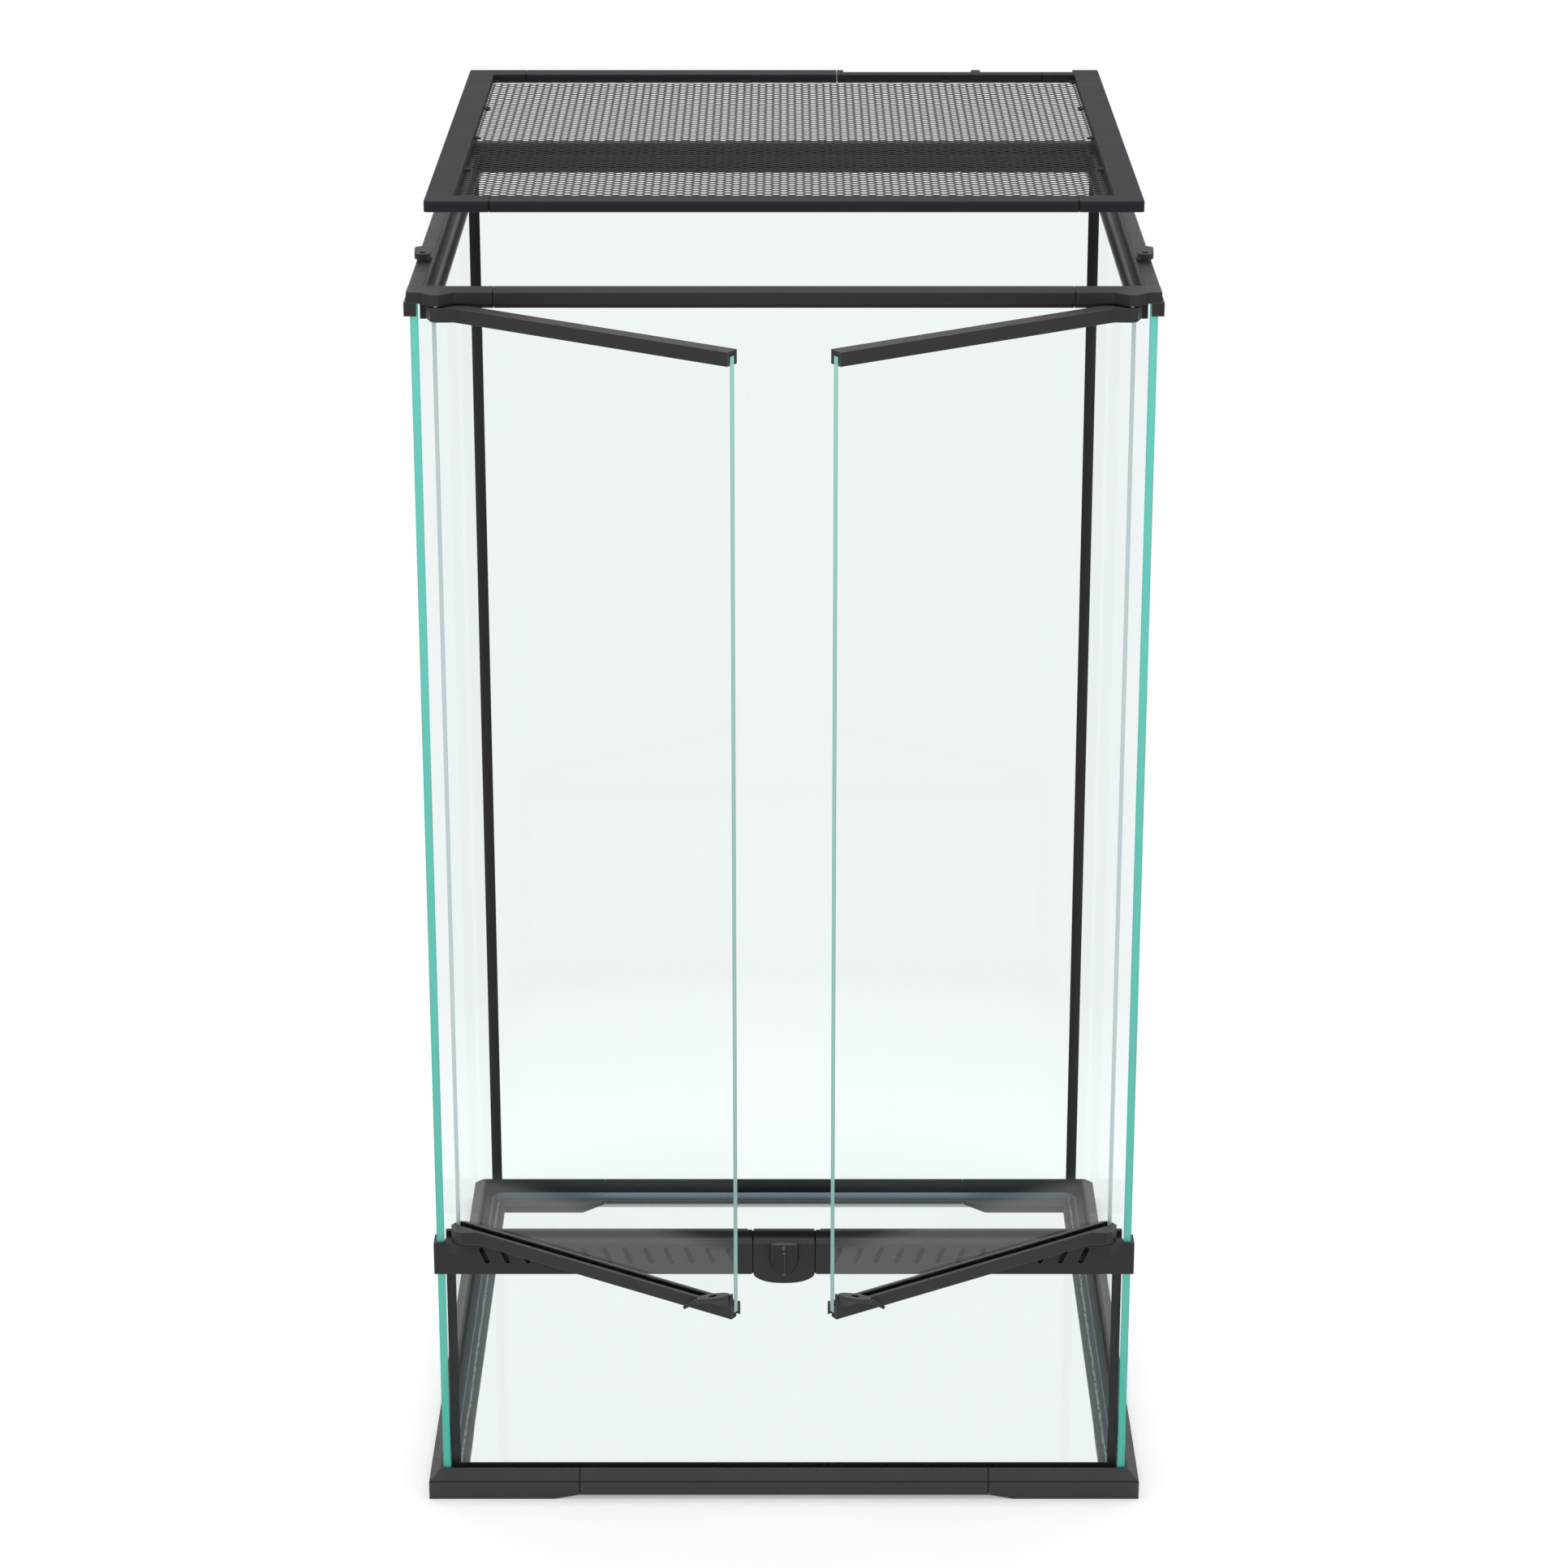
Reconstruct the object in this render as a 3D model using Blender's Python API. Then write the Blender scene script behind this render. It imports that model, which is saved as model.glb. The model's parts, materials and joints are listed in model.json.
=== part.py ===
"""Tall glass terrarium with moulded frames, two front doors and a lift-off mesh lid.

Metres, +Z up. The front faces -Y. The origin is the bottom centre of the box round the
whole object, with the doors ajar and the lid held above its seat.
"""
import math

import bmesh
import bpy
from mathutils import Matrix, Vector

# Driving dimensions of the case
GLASS_WIDTH = 0.450
GLASS_DEPTH = 0.450
CASE_HEIGHT = 0.812
PANE = 0.005
GAP = 0.0003
GLUE = 0.0005

# Base frame: faces measured outward from the outside of the glass, heights from the floor
BASE_OUT = 0.0090
BASE_FACE_TOP = 0.0126
BASE_LIP_TOP = 0.0186
BASE_LIP_OUT = 0.0023
BASE_WALL = 0.0020
BASE_INNER_WALL = 0.0015
LEDGE_TOP = 0.0055
SIDE_LEDGE = 0.0145
RAIL_LEDGE = 0.0090
CORNER_LEDGE = 0.0180
FOOT_DROP = 0.0030
BASE_LEG = 0.0990
FOOT_RAMP = 0.0165
PLUG_LENGTH = 0.0060
PLUG_ROOT = 0.0010

# Top frame: drops are measured down from the top of the case
FLANGE_OUT = 0.0020
SKIRT_OUT = 0.0036
SKIRT_STEP = 0.0063
SKIRT_DROP = 0.0147
SIDE_FLANGE = 0.0095
FRONT_FLANGE = 0.0170
EDGE_CHAMFER = 0.0005
LID_SEAT_DROP = 0.0075
LID_SEAT = 0.0040
INNER_DROP = 0.0190
RIDGE = 0.0030
RIDGE_HEIGHT = 0.0025
SLOT_DROP = 0.0040
FASCIA = 0.0070
FRONT_DROP = 0.0123
FRONT_SETBACK = 0.0115
TOP_LEG_X = 0.0518
TOP_LEG_Y = 0.0550
CLIP_REACH = 0.0075
COMB_TEETH = 5
COMB_PITCH = 0.0120
COMB_SLOT = 0.0030
COMB_START = 0.1220

# Vent bar across the front, heights from the floor
BAR_BOTTOM = 0.1610
BAR_TOP = 0.1828
BAR_OUT = 0.0027
BAR_WALL = 0.0028
BAR_DEPTH = 0.0150
BAR_RIM = 0.0017
BAR_CHAMFER = 0.0032
BAR_RIM_WIDTH = 0.0013
BAR_GROOVE = 0.0020
BAR_CEILING = 0.0020
BAR_STOP = 0.0040
BAR_STOP_WIDTH = 0.0031
BAR_LEG = 0.0020
BAR_LEG_BOTTOM = 0.1640
FRONT_GLASS_TOP = 0.1665
BAR_CAP_OUT = 0.0020
BAR_CAP_DEPTH = 0.0140
BAR_END_BLOCK = 0.0180
BAR_SEAM = 0.0008
BAR_CORNER = 0.0010
LAP_LENGTH = 0.0030
LAP_THICK = 0.0012
RIDGE_LAP_ROOT = 0.0032
VENT_PITCH = 0.0133
VENT_FIRST = 0.0307
VENT_END = 0.0120
VENT_RADIUS = 0.0016
VENT_RISE = 0.0085
VENT_LEAN = 0.0037
VENT_CENTRE = 0.1744

# Lock at the middle of the vent bar
LOCK_WIDTH = 0.0396
LOCK_CHIN = 0.0065
LOCK_OVER_GLASS = 0.0017
KNOB_WIDTH = 0.0185
KNOB_HEIGHT = 0.0238
KNOB_CORNER = 0.0020
KNOB_THIN = 0.0009
KNOB_THICK = 0.0031
RIB_WIDTH = 0.0022
RIB_PROUD = 0.0010
SHAFT_RADIUS = 0.0020
CAM_RADIUS = 0.0042
CAM_REACH = 0.0145
CAM_WIDTH = 0.0050
CAM_THICK = 0.0025
CAM_SETBACK = 0.0077

# Hinges and doors
HINGE_INSET = 0.0110
HINGE_FORWARD = 0.0057
LUG_FLAT = 0.0036
LUG_SLOPE = 0.0092
LUG_NOSE = 0.0036
LUG_HEIGHT = 0.0065
PIN_RADIUS = 0.00125
PIN_IN_LUG = 0.0050
PIN_IN_DOOR = 0.0048
DOOR_OPEN = math.radians(33.0)
DOOR_PANE = 0.0040
DOOR_EDGE_GAP = 0.0010
DOOR_MEETING_GAP = 0.0020
DOOR_TOP_DROP = 0.0083
DOOR_BOTTOM = 0.1850
DOOR_RAIL_DEPTH = 0.0100
DOOR_RAIL_HEIGHT = 0.0086
DOOR_WEB = 0.0030
DOOR_SIDE_GAP = 0.0004
DOOR_END_WALL = 0.0016
DOOR_SWING_RADIUS = 0.0144

# Door handles at the lower meeting corners
HANDLE_LENGTH = 0.0242
HANDLE_HEIGHT = 0.0143
HANDLE_REACH = 0.0112
HANDLE_PLATE = 0.0016
HANDLE_RISE = 0.34
HANDLE_HOLE = (0.0060, 0.0044, 0.0045)
TAIL_LENGTH = 0.0112
TAIL_WIDTH = 0.0046
TAIL_THICK = 0.0028
BOLT_NOTCH = 0.0110
BOLT_NOTCH_HEIGHT = 0.0026

# Seals in the glass corners
REAR_SEAL = 0.0070
FRONT_SEAL = 0.0060

# Lid and its latches
LID_LIFT = 0.0520
LID_CLEARANCE = 0.0010
LID_THICKNESS = 0.0067
LID_RAIL = 0.0170
LID_REBATE = 0.0042
LID_REBATE_HEIGHT = 0.0014
LID_LEG = 0.0390
LID_SHORT_LEG = 0.0175
LID_SPLIT = 0.0365
CABLE_NOTCH = 0.0080
CABLE_POST = 0.0044
CABLE_TAB = 0.0062
CABLE_TAB_PLACE = 0.1320
NET_THICKNESS = 0.0008
NET_COLUMNS = 11
NET_ROWS = 14
NET_STRAND = 0.0052
NET_BORDER = 0.0060
LID_CORNER = 0.0024
PEG_RADIUS = 0.0029
PEG_INSET = 0.0011
PEG_HEIGHT = 0.0013
FRONT_PEGS = (-0.1000, 0.0, 0.1000)
REAR_PEGS = (-0.1065, -0.0265)
INLET_PEGS = (0.1110,)
SIDE_PEGS = 3
LATCH_PLACE = 0.0830
LATCH_INSET = 0.0020
LATCH_BOSS_RADIUS = 0.0040
LATCH_BOSS_HEIGHT = 0.0012
LATCH_THICKNESS = 0.0035
LATCH_FRONT_RADIUS = 0.0053
LATCH_LENGTH = 0.0180
LATCH_REAR_WIDTH = 0.0122
SCREW_HEAD_RADIUS = 0.0020
SCREW_HEAD_HEIGHT = 0.0013
SCREW_SHANK_RADIUS = 0.0010
SCREW_SUNK = 0.0006
SCREW_IN_RAIL = 0.0026
ROUND_STEPS = 16

# Places worked out from the driving dimensions
HALF_W = GLASS_WIDTH / 2
HALF_D = GLASS_DEPTH / 2
GLASS_BOTTOM = LEDGE_TOP + GAP
GLASS_TOP = CASE_HEIGHT - SLOT_DROP - GAP
FLOOR_TOP = GLASS_BOTTOM + PANE
INSIDE_W = HALF_W - PANE
INSIDE_D = HALF_D - PANE
FLANGE_IN = SIDE_FLANGE - FLANGE_OUT
FRONT_IN = FRONT_FLANGE - FLANGE_OUT
HINGE_X = INSIDE_W - HINGE_INSET
HINGE_Y = -(HALF_D + HINGE_FORWARD)
DOOR_FRONT = HINGE_FORWARD - FLANGE_OUT - GAP
DOOR_REAR = DOOR_FRONT + DOOR_RAIL_DEPTH
DOOR_MIDDLE = DOOR_FRONT + DOOR_RAIL_DEPTH / 2
DOOR_INNER = HINGE_X - DOOR_MEETING_GAP / 2
DOOR_OUTER = DOOR_EDGE_GAP - HINGE_INSET
DOOR_TOP = CASE_HEIGHT - DOOR_TOP_DROP
DOOR_SLOT = DOOR_PANE / 2 + DOOR_SIDE_GAP
HANDLE_START = DOOR_INNER - HANDLE_LENGTH
BAR_RIM_TOP = BAR_TOP + BAR_RIM
BAR_GROOVE_FLOOR = BAR_RIM_TOP - BAR_GROOVE
BAR_RIDGE_TOP = BAR_GROOVE_FLOOR + BAR_STOP
RIDGE_LAP_BOTTOM = BAR_GROOVE_FLOOR - RIDGE_LAP_ROOT
LOCK_AXIS_HEIGHT = FRONT_GLASS_TOP + LOCK_OVER_GLASS + CAM_RADIUS
VENT_RUN = HALF_W - VENT_FIRST - VENT_END - LOCK_WIDTH / 2
VENT_SLOTS = 1 + int(VENT_RUN / VENT_PITCH)
LOCK_Y = -(HALF_D + BAR_OUT)
LID_HALF_W = HALF_W - FLANGE_IN - LID_CLEARANCE
LID_FRONT = -(HALF_D - FRONT_IN - LID_CLEARANCE)
LID_REAR = HALF_D - FLANGE_IN - LID_CLEARANCE
LID_SEATED = CASE_HEIGHT - LID_SEAT_DROP + GAP
LID_BOTTOM = LID_SEATED + LID_LIFT
LATCH_X = HALF_W - LATCH_INSET
LATCH_Y = LATCH_PLACE - HALF_D
LATCH_BOTTOM = CASE_HEIGHT + LATCH_BOSS_HEIGHT + GAP
LATCH_TOP = LATCH_BOTTOM + LATCH_THICKNESS


def clear_scene():
    for obj in list(bpy.data.objects):
        bpy.data.objects.remove(obj, do_unlink=True)


def make_material(name, color, roughness, metallic=0.0, alpha=1.0):
    """Principled material in the part's own colour."""
    material = bpy.data.materials.new(name)
    material.use_nodes = True
    shader = material.node_tree.nodes["Principled BSDF"]
    shader.inputs["Base Color"].default_value = (*color, 1.0)
    shader.inputs["Roughness"].default_value = roughness
    shader.inputs["Metallic"].default_value = metallic
    shader.inputs["Alpha"].default_value = alpha
    return material


def mesh_from(bm, name):
    bm.normal_update()
    bmesh.ops.recalc_face_normals(bm, faces=bm.faces)
    mesh = bpy.data.meshes.new(name)
    bm.to_mesh(mesh)
    bm.free()
    return mesh


def loft(rings, name="loft"):
    """Closed solid through rings of 3D points; every ring has as many points."""
    bm = bmesh.new()
    loops = [[bm.verts.new(point) for point in ring] for ring in rings]
    count = len(rings[0])
    for first, second in zip(loops, loops[1:]):
        for i in range(count):
            j = (i + 1) % count
            bm.faces.new((first[i], first[j], second[j], second[i]))
    bm.faces.new(loops[0])
    bm.faces.new(loops[-1])
    return mesh_from(bm, name)


def prism(outline, low, high, axis="Z"):
    """Solid from a flat outline, extruded along one axis.

    The outline holds (x, y) for Z, (x, z) for Y and (y, z) for X.
    """
    if axis == "Z":
        rings = [[(a, b, c) for a, b in outline] for c in (low, high)]
    elif axis == "Y":
        rings = [[(a, c, b) for a, b in outline] for c in (low, high)]
    else:
        rings = [[(c, a, b) for a, b in outline] for c in (low, high)]
    return loft(rings, "prism")


def block(low, high):
    """Box between two corners."""
    outline = [(low[0], low[1]), (high[0], low[1]), (high[0], high[1]), (low[0], high[1])]
    return prism(outline, low[2], high[2])


def side_block(side, near, far, low, high):
    """Box between two distances from X = 0 on one side; low and high hold (y, z)."""
    x_low, x_high = sorted((side * near, side * far))
    return block((x_low, *low), (x_high, *high))


def circle(x, y, radius, steps=ROUND_STEPS):
    return [(x + radius * math.cos(2 * math.pi * i / steps),
             y + radius * math.sin(2 * math.pi * i / steps)) for i in range(steps)]


def arc(x, y, radius, start, end, steps):
    """Points on an arc from one angle to another, in degrees."""
    angles = [math.radians(start + (end - start) * i / steps) for i in range(steps + 1)]
    return [(x + radius * math.cos(a), y + radius * math.sin(a)) for a in angles]


def flipped(mesh, sign_x=1, sign_y=1):
    """Copy of a mesh, mirrored in X or Y, with its faces still pointing out."""
    bm = bmesh.new()
    bm.from_mesh(mesh)
    for vert in bm.verts:
        vert.co.x *= sign_x
        vert.co.y *= sign_y
    return mesh_from(bm, mesh.name)


def joined(meshes):
    """Several closed meshes as one mesh, to be used as one cutter."""
    bm = bmesh.new()
    for mesh in meshes:
        bm.from_mesh(mesh)
    return mesh_from(bm, "joined")


def boolean(mesh, tools, operation):
    """Cut or add each tool mesh, one after the other, with the exact solver."""
    for tool in tools:
        base = bpy.data.objects.new("boolean_base", mesh)
        cutter = bpy.data.objects.new("boolean_tool", tool)
        cutter.hide_render = True
        cutter.display_type = "WIRE"
        bpy.context.collection.objects.link(base)
        bpy.context.collection.objects.link(cutter)
        modifier = base.modifiers.new("Boolean", "BOOLEAN")
        modifier.operation = operation
        modifier.solver = "EXACT"
        modifier.object = cutter
        evaluated = base.evaluated_get(bpy.context.evaluated_depsgraph_get())
        mesh = bpy.data.meshes.new_from_object(evaluated)
        bpy.data.objects.remove(base, do_unlink=True)
        bpy.data.objects.remove(cutter, do_unlink=True)
    bm = bmesh.new()
    bm.from_mesh(mesh)
    bmesh.ops.remove_doubles(bm, verts=bm.verts, dist=1e-6)
    bmesh.ops.dissolve_limit(bm, angle_limit=math.radians(0.5), verts=bm.verts, edges=bm.edges)
    result = bpy.data.meshes.new("solid")
    bm.to_mesh(result)
    bm.free()
    return result


def united(mesh, *others):
    return boolean(mesh, others, "UNION")


def cut(mesh, *cutters):
    return boolean(mesh, cutters, "DIFFERENCE")


def add(name, mesh, material, parent=None):
    """Put a finished mesh in the scene under its own name."""
    mesh.name = name
    mesh.materials.clear()
    mesh.materials.append(material)
    obj = bpy.data.objects.new(name, mesh)
    bpy.context.collection.objects.link(obj)
    obj.parent = parent
    mesh.shade_smooth()
    mesh.set_sharp_from_angle(angle=math.radians(30))
    return obj


def pivot(name, location, parent, turn=0.0):
    """Empty on a joint's axis, which carries the pieces that move there."""
    empty = bpy.data.objects.new(name, None)
    bpy.context.collection.objects.link(empty)
    empty.parent = parent
    empty.location = location
    empty.rotation_euler = (0.0, 0.0, turn)
    return empty


def ring_along_x(profile, x, side):
    """Section of a rail that runs along X; the profile is (outward, height)."""
    return [(x, side * (HALF_D + out), z) for out, z in profile]


def ring_along_y(profile, y, side):
    return [(side * (HALF_W + out), y, z) for out, z in profile]


def ring_at_corner(profile_x, profile_y, side_x, side_y):
    """Mitre between a leg along X and a leg along Y of one profile."""
    return [(side_x * (HALF_W + b[0]), side_y * (HALF_D + a[0]), a[1])
            for a, b in zip(profile_x, profile_y)]


# Base frame


def base_corner_profile(ledge, bottom):
    """Solid section of a base corner, with its foot, over the ledge that carries the glass."""
    return [(BASE_OUT, bottom), (BASE_OUT, BASE_FACE_TOP), (BASE_LIP_OUT, BASE_LIP_TOP),
            (GAP, BASE_LIP_TOP), (GAP, LEDGE_TOP), (-ledge, LEDGE_TOP), (-ledge, bottom)]


def base_rail_profile(ledge):
    """Hollow section of a base rail, open underneath."""
    inner = GAP + BASE_INNER_WALL
    outer = BASE_OUT - BASE_WALL
    slope = (BASE_LIP_TOP - BASE_FACE_TOP) / (BASE_OUT - BASE_LIP_OUT)
    roof = BASE_LIP_TOP - BASE_WALL
    shoulder = roof - slope * (outer - inner)
    return [(BASE_OUT, FOOT_DROP), (BASE_OUT, BASE_FACE_TOP), (BASE_LIP_OUT, BASE_LIP_TOP),
            (GAP, BASE_LIP_TOP), (GAP, LEDGE_TOP), (-ledge, LEDGE_TOP), (-ledge, FOOT_DROP),
            (inner, FOOT_DROP), (inner, roof), (outer, shoulder), (outer, FOOT_DROP)]


def plug_profile():
    """Section of the plug that a base corner pushes into a hollow rail."""
    inner = GAP + BASE_INNER_WALL + GAP
    outer = BASE_OUT - BASE_WALL - GAP
    slope = (BASE_LIP_TOP - BASE_FACE_TOP) / (BASE_OUT - BASE_LIP_OUT)
    roof = BASE_LIP_TOP - BASE_WALL - 2 * GAP
    return [(outer, FOOT_DROP), (outer, roof - slope * (outer - inner)), (inner, roof), (inner, FOOT_DROP)]


def base_corner(side_x, side_y):
    """L-shaped corner: the foot stands lower than the rails and ramps up to them."""
    foot_x = base_corner_profile(CORNER_LEDGE, 0.0)
    foot_y = base_corner_profile(SIDE_LEDGE, 0.0)
    end_x = base_corner_profile(RAIL_LEDGE, FOOT_DROP)
    end_y = base_corner_profile(SIDE_LEDGE, FOOT_DROP)
    seam_x = side_x * (HALF_W + BASE_OUT - BASE_LEG)
    seam_y = side_y * (HALF_D + BASE_OUT - BASE_LEG)
    ramp_x = seam_x + side_x * FOOT_RAMP
    ramp_y = seam_y + side_y * FOOT_RAMP
    corner = loft([ring_along_x(end_x, seam_x, side_y), ring_along_x(foot_x, ramp_x, side_y),
                   ring_at_corner(foot_x, foot_y, side_x, side_y),
                   ring_along_y(foot_y, ramp_y, side_x), ring_along_y(end_y, seam_y, side_x)])
    ends = (seam_x + side_x * PLUG_ROOT, seam_x - side_x * PLUG_LENGTH)
    plug_x = loft([ring_along_x(plug_profile(), x, side_y) for x in ends])
    ends = (seam_y + side_y * PLUG_ROOT, seam_y - side_y * PLUG_LENGTH)
    plug_y = loft([ring_along_y(plug_profile(), y, side_x) for y in ends])
    return united(corner, plug_x, plug_y)


def build_base(plastic, case):
    for side_x, word_x in ((-1, "left"), (1, "right")):
        for side_y, word_y in ((-1, "front"), (1, "rear")):
            add(f"base_corner_{word_y}_{word_x}", base_corner(side_x, side_y), plastic, case)
    reach_x = HALF_W + BASE_OUT - BASE_LEG - GAP
    reach_y = HALF_D + BASE_OUT - BASE_LEG - GAP
    for side, word in ((-1, "front"), (1, "rear")):
        profile = base_rail_profile(RAIL_LEDGE)
        rings = [ring_along_x(profile, x, side) for x in (-reach_x, reach_x)]
        add(f"base_rail_{word}", loft(rings), plastic, case)
    for side, word in ((-1, "left"), (1, "right")):
        profile = base_rail_profile(SIDE_LEDGE)
        rings = [ring_along_y(profile, y, side) for y in (-reach_y, reach_y)]
        add(f"base_rail_{word}", loft(rings), plastic, case)


# Glass and seals


def seal_outline(size, steps=5):
    """Quarter-round fillet in a corner: two flat backs and a hollow face."""
    hollow = arc(size, size, size * 0.82, 180, 270, steps)
    return [(0.0, 0.0), (0.0, size), (size * 0.12, size)] + hollow[1:-1] + [(size, size * 0.12), (size, 0.0)]


def seal(size, side_x, side_y, depth, bottom, top):
    outline = [(side_x * (INSIDE_W - GAP - a), side_y * (depth - GAP - b))
               for a, b in seal_outline(size)]
    return prism(outline, bottom, top)


def build_glass(glass, rubber, case):
    inner_w = INSIDE_W - GLUE
    for side, word in ((-1, "left"), (1, "right")):
        near, far = sorted((side * INSIDE_W, side * HALF_W))
        add(f"side_glass_{word}", block((near, -HALF_D, GLASS_BOTTOM), (far, HALF_D, GLASS_TOP)),
            glass, case)
    add("rear_glass", block((-inner_w, INSIDE_D, GLASS_BOTTOM), (inner_w, HALF_D, GLASS_TOP)),
        glass, case)
    front = -(HALF_D - GLUE)
    add("front_lower_glass", block((-inner_w, front, GLASS_BOTTOM),
                                   (inner_w, front + PANE, FRONT_GLASS_TOP)), glass, case)
    add("floor_glass", block((-inner_w, front + PANE + GAP, GLASS_BOTTOM),
                             (inner_w, INSIDE_D - GAP, FLOOR_TOP)), glass, case)
    bottom = FLOOR_TOP + GAP
    for side, word in ((-1, "left"), (1, "right")):
        rear = seal(REAR_SEAL, side, 1, INSIDE_D, bottom, CASE_HEIGHT - INNER_DROP - GAP)
        add(f"rear_seal_{word}", rear, rubber, case)
        low = seal(FRONT_SEAL, side, -1, INSIDE_D - GLUE, bottom, BAR_BOTTOM - GAP)
        add(f"front_seal_{word}", low, rubber, case)


# Top frame


def top_side_profile():
    """Side and rear rail: a skirt over the glass, a seat for the lid and a lower ridge."""
    top = CASE_HEIGHT
    slot_in = -(PANE + GAP)
    seat_in = -(FLANGE_IN + LID_SEAT)
    ridge_top = top - INNER_DROP + RIDGE_HEIGHT
    return [(SKIRT_OUT, top - SKIRT_DROP), (SKIRT_OUT, top - SKIRT_STEP),
            (FLANGE_OUT, top - SKIRT_STEP + (SKIRT_OUT - FLANGE_OUT) / 2),
            (FLANGE_OUT, top - EDGE_CHAMFER), (FLANGE_OUT - EDGE_CHAMFER, top),
            (-FLANGE_IN + EDGE_CHAMFER, top), (-FLANGE_IN, top - EDGE_CHAMFER),
            (-FLANGE_IN, top - LID_SEAT_DROP), (seat_in, top - LID_SEAT_DROP),
            (seat_in, ridge_top), (seat_in - RIDGE, ridge_top), (seat_in - RIDGE, top - INNER_DROP),
            (slot_in, top - INNER_DROP), (slot_in, top - SLOT_DROP),
            (GAP, top - SLOT_DROP), (GAP, top - SKIRT_DROP)]


def top_front_profile():
    """Front rail: a fascia, and a stop for the doors set back under it."""
    top = CASE_HEIGHT
    seat_in = -(FRONT_IN + LID_SEAT)
    stop = FLANGE_OUT - FRONT_SETBACK
    return [(FLANGE_OUT, top - FASCIA), (FLANGE_OUT, top - EDGE_CHAMFER),
            (FLANGE_OUT - EDGE_CHAMFER, top), (-FRONT_IN + EDGE_CHAMFER, top),
            (-FRONT_IN, top - EDGE_CHAMFER), (-FRONT_IN, top - LID_SEAT_DROP),
            (seat_in, top - LID_SEAT_DROP), (seat_in, top - FRONT_DROP),
            (stop, top - FRONT_DROP), (stop, top - FASCIA)]


def lug_outline(nose, base_depth, flat=LUG_FLAT, slope=LUG_SLOPE, back=None):
    """Plan of a hinge lug round the pin at the origin: a trapezoid that juts to the front."""
    back = base_depth if back is None else back
    return [(-flat / 2 - slope, base_depth), (-flat / 2, -nose), (flat / 2, -nose),
            (flat / 2 + slope, base_depth), (flat / 2 + slope, back), (-flat / 2 - slope, back)]


def top_front_corner():
    """Left front corner: side leg, front leg, hinge lug and the clip over the glass edge."""
    top = CASE_HEIGHT
    face_y = -(HALF_D + FLANGE_OUT)
    seam_x = -(HALF_W + FLANGE_OUT) + TOP_LEG_X
    seam_y = face_y + TOP_LEG_Y
    stop_y = -(HALF_D + FLANGE_OUT - FRONT_SETBACK)
    side_leg = loft([ring_along_y(top_side_profile(), y, -1) for y in (stop_y, seam_y)])
    inner_x = -(HALF_W - FLANGE_IN)
    seat_x = inner_x + LID_SEAT
    front_leg = loft([ring_along_x(top_front_profile(), x, -1) for x in (seat_x, seam_x)])
    outer_x = -(HALF_W + FLANGE_OUT)
    deck = block((outer_x, face_y, top - FASCIA), (seat_x + GAP, -(HALF_D - FRONT_IN), top))
    lug = [(-HINGE_X + x, HINGE_Y + y)
           for x, y in lug_outline(LUG_NOSE, HINGE_FORWARD - FLANGE_OUT, back=DOOR_FRONT + 0.002)]
    lug = prism(lug, top - FASCIA, top)
    skirt_x = -(HALF_W + SKIRT_OUT)
    clip_front = face_y - EDGE_CHAMFER
    clip = block((skirt_x, clip_front, top - SKIRT_DROP), (skirt_x + CLIP_REACH, stop_y, top - SKIRT_STEP))
    corner = united(side_leg, front_leg, deck, lug, clip)
    glass_slot = block((-HALF_W - GAP, -HALF_D - GAP, top - INNER_DROP - GAP),
                       (-INSIDE_W + GAP, seam_y + GAP, top - SLOT_DROP))
    pin_hole = prism(circle(-HINGE_X, HINGE_Y, PIN_RADIUS + GAP), top - FASCIA - GAP,
                     top - FASCIA + PIN_IN_LUG + GAP)
    return cut(corner, glass_slot, pin_hole)


def comb_slots():
    """Row of small notches in the ridge of the rear rail, for thin leads."""
    ridge_in = HALF_D - FLANGE_IN - LID_SEAT - RIDGE
    low = CASE_HEIGHT - INNER_DROP - GAP
    high = CASE_HEIGHT - INNER_DROP + RIDGE_HEIGHT + GAP
    slots = []
    for i in range(COMB_TEETH):
        x = COMB_START + i * COMB_PITCH
        slots.append(block((x - COMB_SLOT / 2, ridge_in - GAP, low),
                           (x + COMB_SLOT / 2, ridge_in + RIDGE / 2, high)))
    return joined(slots)


def latch_seat(side):
    """Low boss on a side rail that a latch turns on."""
    return prism(circle(side * LATCH_X, LATCH_Y, LATCH_BOSS_RADIUS), CASE_HEIGHT - EDGE_CHAMFER,
                 CASE_HEIGHT + LATCH_BOSS_HEIGHT)


def build_top(plastic, case):
    face = HALF_D + FLANGE_OUT
    seam_front_x = HALF_W + FLANGE_OUT - TOP_LEG_X
    seam_y = face - TOP_LEG_Y
    corner = top_front_corner()
    add("top_corner_front_left", corner, plastic, case)
    add("top_corner_front_right", flipped(corner, sign_x=-1), plastic, case)
    profile = top_side_profile()
    for side, word in ((-1, "left"), (1, "right")):
        rings = [ring_along_x(profile, side * seam_front_x, 1),
                 ring_at_corner(profile, profile, side, 1), ring_along_y(profile, seam_y, side)]
        add(f"top_corner_rear_{word}", loft(rings), plastic, case)
        rail = loft([ring_along_y(profile, y, side) for y in (-seam_y + GAP, seam_y - GAP)])
        hole = prism(circle(side * LATCH_X, LATCH_Y, SCREW_SHANK_RADIUS + GAP),
                     CASE_HEIGHT - SCREW_IN_RAIL - GAP, CASE_HEIGHT + LATCH_BOSS_HEIGHT + GAP)
        rail = cut(united(rail, latch_seat(side)), hole)
        add(f"top_rail_{word}", rail, plastic, case)
    reach = seam_front_x - GAP
    front = loft([ring_along_x(top_front_profile(), x, -1) for x in (-reach, reach)])
    add("top_rail_front", front, plastic, case)
    rear = loft([ring_along_x(profile, x, 1) for x in (-reach, reach)])
    add("top_rail_rear", cut(rear, comb_slots()), plastic, case)


# Vent bar and lock


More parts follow.
